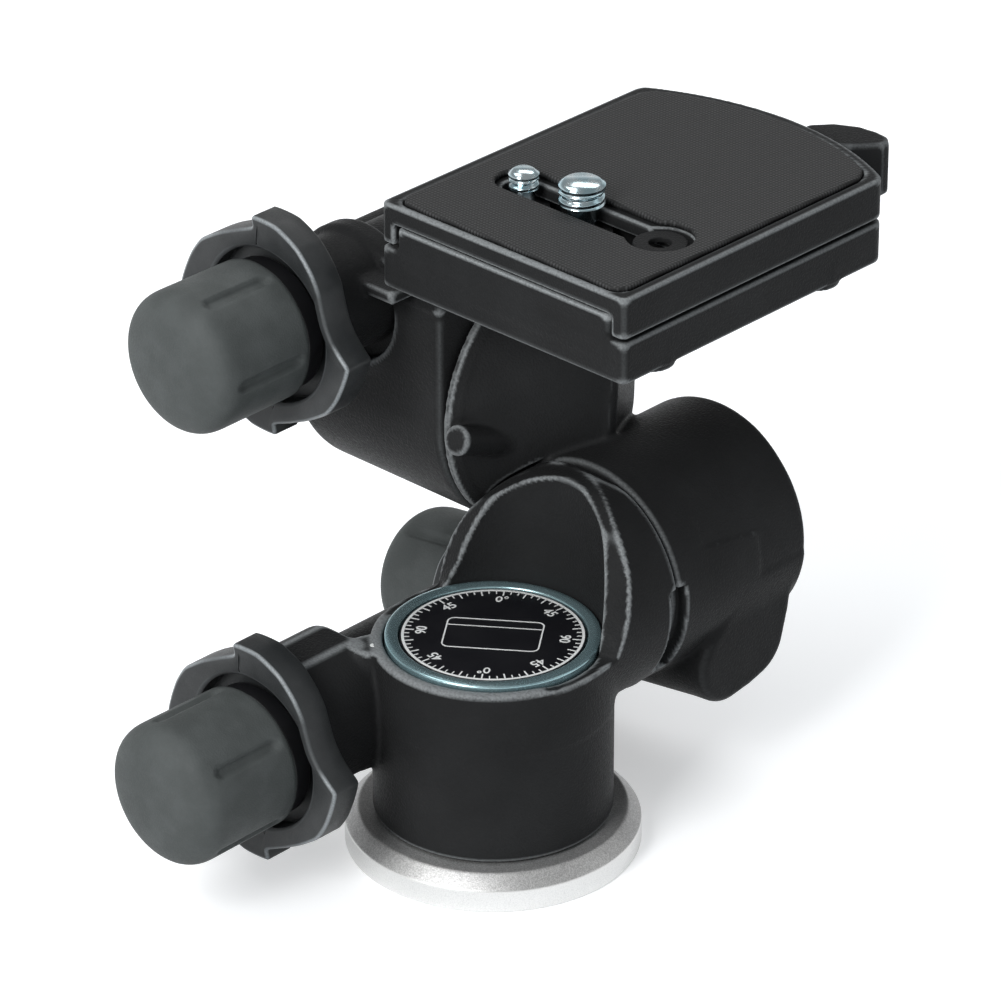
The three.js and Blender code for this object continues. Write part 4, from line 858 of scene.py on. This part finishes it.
def winged_collar(turn, side):
    """The outline carried through its thickness with rounded edges, then in to the round
    recess and the hole. Returns plan, depth, wear and painted highlight for each point, and faces."""
    outline = wing_outline(turn, side)
    along = np.roll(outline, -1, 0) - np.roll(outline, 1, 0)
    inward = np.stack([-along[:, 1], along[:, 0]], 1) / np.linalg.norm(along, axis=1)[:, None]
    if np.sum(outline * inward) > 0:
        inward = -inward
    away = np.linalg.norm(outline, axis=1)
    circle = outline / away[:, None]
    # the front edge's bright tone grows out on the wings and peaks midway round its rounding:
    # rubbed wear and painted highlight
    wing_rub_and_highlight = np.clip((away - rub_and_highlight_radius) / 2, 0.15, 1)
    front, edge = collar_depth, collar_edge
    rows = [(outline + inward * 0.9, 0.0, 0), (outline + inward * 0.3, 0.1, 0)]
    rows += [(outline, 0.6, 0), (outline, front / 2, 0)]
    for bend_angle in np.linspace(0, math.pi / 2, 6):
        inset = edge * (1 - math.cos(bend_angle))
        depth = front - edge + edge * math.sin(bend_angle)
        rows.append((outline + inward * inset, depth, math.sin(2 * bend_angle)))
    rows.append((outline + inward * 1.6, front - 0.02, 0))
    lip = collar_recess + 0.6
    for radius, depth, rub_and_highlight in (
        (lip + 0.3, front - 0.7, 0), (lip, front - 0.75, 0.2), (collar_recess, front - 1.3, 0),
        (collar_recess, collar_floor + 0.3, 0), (collar_recess - 0.3, collar_floor, 0),
        (collar_hole + 0.2, collar_floor, 0), (collar_hole, collar_floor - 0.3, 0),
        (collar_hole, 0.3, 0), (collar_hole + 0.3, 0, 0),
    ):
        rows.append((circle * radius, depth, rub_and_highlight))
    plan = np.concatenate([row for row, _, _ in rows])
    depth = np.repeat([d for _, d, _ in rows], len(outline))
    wear_and_highlight = np.concatenate([wing_rub_and_highlight * w for _, _, w in rows])
    return plan, depth, wear_and_highlight, grid_faces(len(rows), len(outline), True)


def outward(points, faces):
    """Faces turned round if the closed surface they make is inside out."""
    a, b, c = (points[faces[:, k]] for k in range(3))
    facing = np.cross(b, c) + np.cross(c, points[faces[:, 3]])
    return faces if np.sum(a * facing) > 0 else faces[:, ::-1]


# a collar's plan lies along the stage's offset and against its axle
for which, stage in stages.items():
    plan, depth, wear_and_highlight, faces = winged_collar(stage["collar"], stage["side"])
    back = stage["reach"] - collar_back
    local = np.stack([plan[:, 0] + worm_at[0], back + depth, plan[:, 1]], 1)
    points = from_stage(local, stage)
    put(f"{which}_winged_collar", points, outward(points, faces).tolist(),
        f"{which}_release", "black_plastic", collar_plastic, (f"{which}_collar",),
        wear_and_highlight=wear_and_highlight, crease=40)

# Each knob is a plastic hub on the worm's shaft under a soft grey rubber grip, with a rounded
# end and grooves along its side. Handling has mottled it.
grip_rubber = finish_of(
    "grey_grip_rubber", (0.056, 0.062, 0.061), 0.62, patch=(0.07, 0.077, 0.076), patch_size=6,
    grain=0.38, grain_height=0.08, rough_spread=0.08, specular=0.2,
)
hub_plastic = finish_of(
    "black_hub_plastic", (0.006, 0.006, 0.007), 0.42, patch_size=6, grain=0.2, grain_height=0.006,
    specular=0.4,
)
grip_back, grip_front, grip_length, grip_dome, dome_power = 14.8, 14.95, 18.2, 7.0, 3.0
groove_count, groove_width, groove_depth = 5, 2.9, 1.0
groove_from, groove_to = 2.4, 19.6
grip_bore, grip_floor, grip_lip = 11.3, 17.8, 14.3
hub_flange, hub_shank, hub_bore, hub_back, hub_front, hub_hollow = 13.9, 11, 3.3, -4.2, 17.5, 14.3


def knob_grip(turn):
    """A cup: the side and a domed end on a power curve, with grooves pressed in where a window
    of the angle and one of the length overlap, and a plain bore inside."""
    share = np.linspace(0, 1, 22)
    side = np.stack([
        grip_back + (grip_front - grip_back) * share, 0.5 + (grip_length - 0.5) * share,
    ], 1)
    t = np.linspace(0, math.pi / 2, 26)[1:]
    crown = np.stack([
        grip_front * np.cos(t) ** (2 / dome_power),
        grip_length + grip_dome * np.sin(t) ** (2 / dome_power),
    ], 1)
    crown[-1, 0] = 0
    inner = [(0, grip_floor), (grip_bore - 0.3, grip_floor), (grip_bore, grip_floor - 0.3),
             (grip_bore, 0.3), (grip_bore + 0.3, 0), (grip_lip, 0)]
    profile = np.concatenate([inner, side, crown])
    beyond = np.maximum(between(profile[:, 1:], groove_from, groove_to) + groove_width / 2, 0)

    def grooved(angle, row, radius):
        pitch = 2 * math.pi / groove_count
        away = (angle - math.radians(turn) + pitch / 2) % pitch - pitch / 2
        inside = groove_width / 2 - np.hypot(np.abs(away) * grip_back, beyond)
        press = np.clip(inside / 0.6, 0, 1)
        press = press * press * (3 - 2 * press) * groove_depth
        return np.maximum(radius - press * (row >= len(inner)), 0)

    return turned(profile, 200, False, grooved)


knob_hub = turned(eased([
    (hub_bore, hub_back), (hub_flange, hub_back), (hub_flange, -0.3), (hub_shank, -0.3),
    (hub_shank, hub_front), (0, hub_front), (0, hub_hollow), (hub_bore, hub_hollow),
], 0.35, closed=True), 96)
for which, stage in stages.items():
    knob, end = f"{which}_knob", (worm_at[0], stage["reach"], 0)
    for name, (points, faces), slot, finish, node, crease in (
        (f"{which}_rubber_grip", knob_grip(stage["grip"]), "grey_rubber", grip_rubber,
         f"{knob}_grip", None),
        (f"{knob}_hub", knob_hub, "black_plastic", hub_plastic, f"{knob}_core", 50),
    ):
        put(name, from_stage(points[:, [0, 2, 1]] + end, stage), [face[::-1] for face in faces],
            knob, slot, finish, (node,), crease=crease)

# The receiver is a flat casting screwed to the roll housing. Its raised middle guides the
# plate, and its front edge is scraped bright where the plate goes in, with a stronger painted
# highlight there too.
plate_middle, plate_half, plate_front = -1, 32.3, 3.2
plate_back_radius, plate_back_centre = 64.3, 23.2
slot_y, slot_half, pad_slot_half, slot_left, slot_right = 28.2, 3.6, 5.11, -19.2, 17.8
floor_layer, guide_layer, foot_layer = (111.2, 119.9), (115, 124.8), (109.8, 116)
foot_x, foot_rows, foot_radius = 26.2, (16.5, 65), 4.8
ear_layer, ear_radius, ear_reach, ear_flare = (111.2, 114.6), 5.3, 12.8, 5.3
lever_at = (-17, 91.6, 0)


def plate_plan(p, side, front, back, corner):
    """Distance, in plan, to the plate's outline: straight front and sides, bowed back."""
    x, y = p[:, 0] - plate_middle, p[:, 1]
    sides = met(np.abs(x) - plate_half + side, plate_front + front - y, corner)
    return met(sides, np.hypot(x, y - plate_back_centre) - plate_back_radius + back, corner)


def receiver_metal(p):
    """Floor, raised middle, feet and the lever's ear joined; the trough and holes taken out."""
    metal = met(plate_plan(p, 0, 0, 0, 1.5), between(p[:, 2], *floor_layer), 0.7)
    guide = met(plate_plan(p, 4.1, 0, 4.1, 1.5), between(p[:, 2], *guide_layer), 0.7)
    metal = joined(metal, guide, 0.5)
    for y in foot_rows:
        metal = joined(metal, drum(p, 2, (foot_x, y, 0), foot_radius, *foot_layer, 0.8), 0.6)
    x, y = p[:, 0] - lever_at[0], p[:, 1] - lever_at[1]
    t = np.clip(-y / ear_reach, 0, 1)
    ear = np.hypot(x, y + t * ear_reach) - ear_radius - t * ear_flare
    metal = joined(metal, met(ear, between(p[:, 2], *ear_layer), 0.6), 0.8)
    holes = slab(p, (-26, slot_y - 7.4, 119.9), (26, slot_y + 7.4, 128), 0.5)
    holes = joined(drum(p, 2, lever_at, 2.3, 109, 117), holes)
    for at in receiver_screws:
        holes = joined(holes, drum(p, 2, at, 1.7, 109, 121))
        holes = joined(holes, drum(p, 2, at, 2.8, 116.7, 127))
    return without(metal, holes, 0.4)


def scrape_and_highlight_share(points):
    """Share of wear and painted highlight: more along the front of the guide's top edge."""
    scrape = np.exp(-((points[:, 2] - 124.6) / 0.9) ** 2) * (points[:, 1] < 6)
    return 0.6 + 0.9 * scrape


put_casting("receiver_casting", receiver_metal, (-36, 0, 108), (34, 100, 127), 0.6, "roll",
            "receiver", scrape_and_highlight_share)

# The quick-release plate drops over the receiver's raised middle. A dark ribbed pad covers its
# top, and a slot holds the two camera screws, which slide in it.


def slot_room(p, half_width, low, high):
    """Distance to a slot along X with round ends."""
    x = p[:, 0] - np.clip(p[:, 0], slot_left, slot_right)
    return met(np.hypot(x, p[:, 1] - slot_y) - half_width, between(p[:, 2], low, high))


def plate_metal(p):
    """The slab with its skirts; the room under it, the pad's seat, the slot and the recess
    at its end taken out."""
    whole = met(plate_plan(p, 0, 0, 0, 1.5), between(p[:, 2], 120.8, 129.4), 0.6)
    under = met(plate_plan(p, 3.5, -2, 3.5, 1.5), between(p[:, 2], 116, 125.3))
    seat = met(plate_plan(p, 2.6, 1.6, 2.4, 3.2), between(p[:, 2], 128.5, 133))
    recess = drum(p, 2, (slot_right, slot_y, 0), 6.8, 127.1, 133)
    room = joined(joined(under, seat), joined(recess, slot_room(p, slot_half, 120, 133)))
    return without(whole, room, 0.35)


put_casting("release_plate_casting", plate_metal, (-36, 0, 119), (34, 91, 131), 0.55, "plate",
            "quick_release_plate", 0.75)


def pad_sheet(p):
    """The pad: the seat's outline a little smaller, less the slot and the recess."""
    sheet = met(plate_plan(p, 2.9, 1.9, 2.7, 3.2), between(p[:, 2], 128.8, 130), 0.3)
    recess = drum(p, 2, (slot_right, slot_y, 0), 6.8, 127, 133)
    return without(sheet, joined(recess, slot_room(p, pad_slot_half, 127, 133)), 0.3)


pad_rubber = bpy.data.materials.new("ribbed_pad_rubber")
node = bench(pad_rubber)
place = node("TexCoord").outputs["Object"]
turned_place = node("Mapping", {"Vector": place, "Rotation": (0, 0, math.radians(4))})
rib_scale, weave_depth = 0.314 / (0.8 * mm), 0.12 * mm
rib, cross_rib = (
    node("TexWave", {"Vector": turned_place, "Scale": rib_scale}, bands_direction=way)
    for way in "XY"
)
weave = node("Math", {0: rib.outputs["Fac"], 1: cross_rib.outputs["Fac"]},
             operation="MULTIPLY")
cloud = node("TexNoise", {"Vector": place, "Scale": 1 / (0.6 * mm)})
soft = node("Math", {0: cloud, 1: 0.12}, operation="MULTIPLY")
dots = node("Math", {0: weave, 1: 0.95, 2: soft}, operation="MULTIPLY_ADD")
tone = node("Mix", {
    "Factor": dots, "A": (0.009, 0.0092, 0.0095, 1), "B": (0.05, 0.051, 0.052, 1),
}, data_type="RGBA")
node("OutputMaterial", {"Surface": node("BsdfPrincipled", {
    "Base Color": tone, "Roughness": 0.66, "Specular IOR Level": 0.3,
    "Normal": node("Bump", {"Distance": weave_depth, "Height": weave}),
})})
points, faces, bend = cast(pad_sheet, (-34, 3, 127.6), (32, 87, 131.2), 0.55)
put("plate_pad_sheet", points, faces, "plate", "pad_rubber", pad_rubber, ("plate_pad",))

points, faces = turned(eased([
    (2.25, 127.4), (5.4, 127.4), (5.4, 128.6), (2.25, 128.6),
], 0.3, closed=True), sides=64)
put("slot_washer", points + (slot_right, slot_y, 0), faces, "plate", "steel", black_paint,
    ("slot_end_washer",), wear_and_highlight=np.zeros(len(points)), crease=50)

# Two captive camera screws stand in the slot: a wide and a narrow one, zinc plated, with a
# slotted head under the slab.
zinc = finish_of(
    "bright_zinc", (0.42, 0.58, 0.64), 0.2, metal=1, patch=(0.62, 0.7, 0.73), patch_size=3,
    grain=0.2, grain_height=0.004, rough_spread=0.05,
)
for name, body, at, radius, neck, head, start, top, pitch in (
    ("large_camera_screw", "large_screw", -2.8, 4.76, 2.9, 6.3, 130.35, 135.2, 1.5875),
    ("small_camera_screw", "small_screw", -18.4, 3.17, 2.3, 5.4, 128.6, 132.6, 1.27),
):
    rows = np.arange(start + 0.25, top - 0.75, pitch / 8)
    lead_in = [(0, 120.5), (head - 0.3, 120.5), (head, 120.8), (head, 122.8), (head - 0.3, 123.1),
               (neck, 123.1), (neck, start - 0.2)]
    line = np.array(
        lead_in + [(radius - radius * 0.02, h) for h in rows]
        + [(radius - 0.75, top - 0.35), (radius - 1.2, top), (0, top)]
    )
    wave = threaded(line, len(lead_in), len(rows), pitch, 0.68)
    points, faces = turned(line, sides=56, closed=False, wave=wave)
    put(f"{name}_zinc", points + (at, slot_y, 0), faces, body, "zinc", zinc, (name,), crease=70)
    refinish(f"{name}_clip", turned_steel)
for node in ("receiver_screw_1", "receiver_screw_2", "lever_pin", "lever_spring"):
    refinish(node, turned_steel)

# The lock lever is a cast arm on a pin behind the plate. Its broad paddle comes round the
# plate's corner, where a thumb pushes it.
arm_outline = ((-17, 96.9), (-9, 96.6), (-2.5, 99), (1, 95), (-3, 90.5), (-10, 88.6), (-17, 86.3))
paddle_outline = (
    (-4.2, 97.2), (-0.6, 101.4), (4.3, 103.9), (8.5, 104.3), (11.6, 103.9), (13.3, 102.2),
    (13.4, 100.2), (9, 95), (3, 91.8), (-3, 90.5),
)


def inside_outline(p, corners):
    """Distance, in plan, to an outline's nearest side, less than zero inside it."""
    x, y = p[:, 0], p[:, 1]
    least = np.full(len(p), 1e9)
    within = np.zeros(len(p), bool)
    for (ax, ay), (bx, by) in zip(corners, corners[1:] + corners[:1]):
        ex, ey = bx - ax, by - ay
        share = np.clip(((x - ax) * ex + (y - ay) * ey) / (ex * ex + ey * ey), 0, 1)
        least = np.minimum(least, (x - ax - share * ex) ** 2 + (y - ay - share * ey) ** 2)
        above = (ay > y) != (by > y)
        level = np.where(above, ax + (y - ay) / np.where(by == ay, 1, by - ay) * ex, 0)
        within ^= above & (x < level)
    return np.where(within, -1, 1) * np.sqrt(least)


def lever_metal(p):
    """Boss, low arm and paddle joined; the pin's hole and the spring's room taken out."""
    boss = drum(p, 2, lever_at, 5.3, 115.2, 121, 0.5)
    arm = met(inside_outline(p, arm_outline), between(p[:, 2], 115.2, 121), 0.7)
    paddle = met(inside_outline(p, paddle_outline), between(p[:, 2], 112, 124), 1.1)
    metal = joined(joined(boss, arm, 0.5), paddle, 1.2)
    room = joined(drum(p, 2, lever_at, 2.35, 113, 123), drum(p, 2, lever_at, 4.7, 113, 118.2))
    return without(metal, room, 0.3)


put_casting("lock_lever_casting", lever_metal, (-25, 83, 110), (16, 107, 126), 0.5, "lever",
            "lock_lever", 0.5)
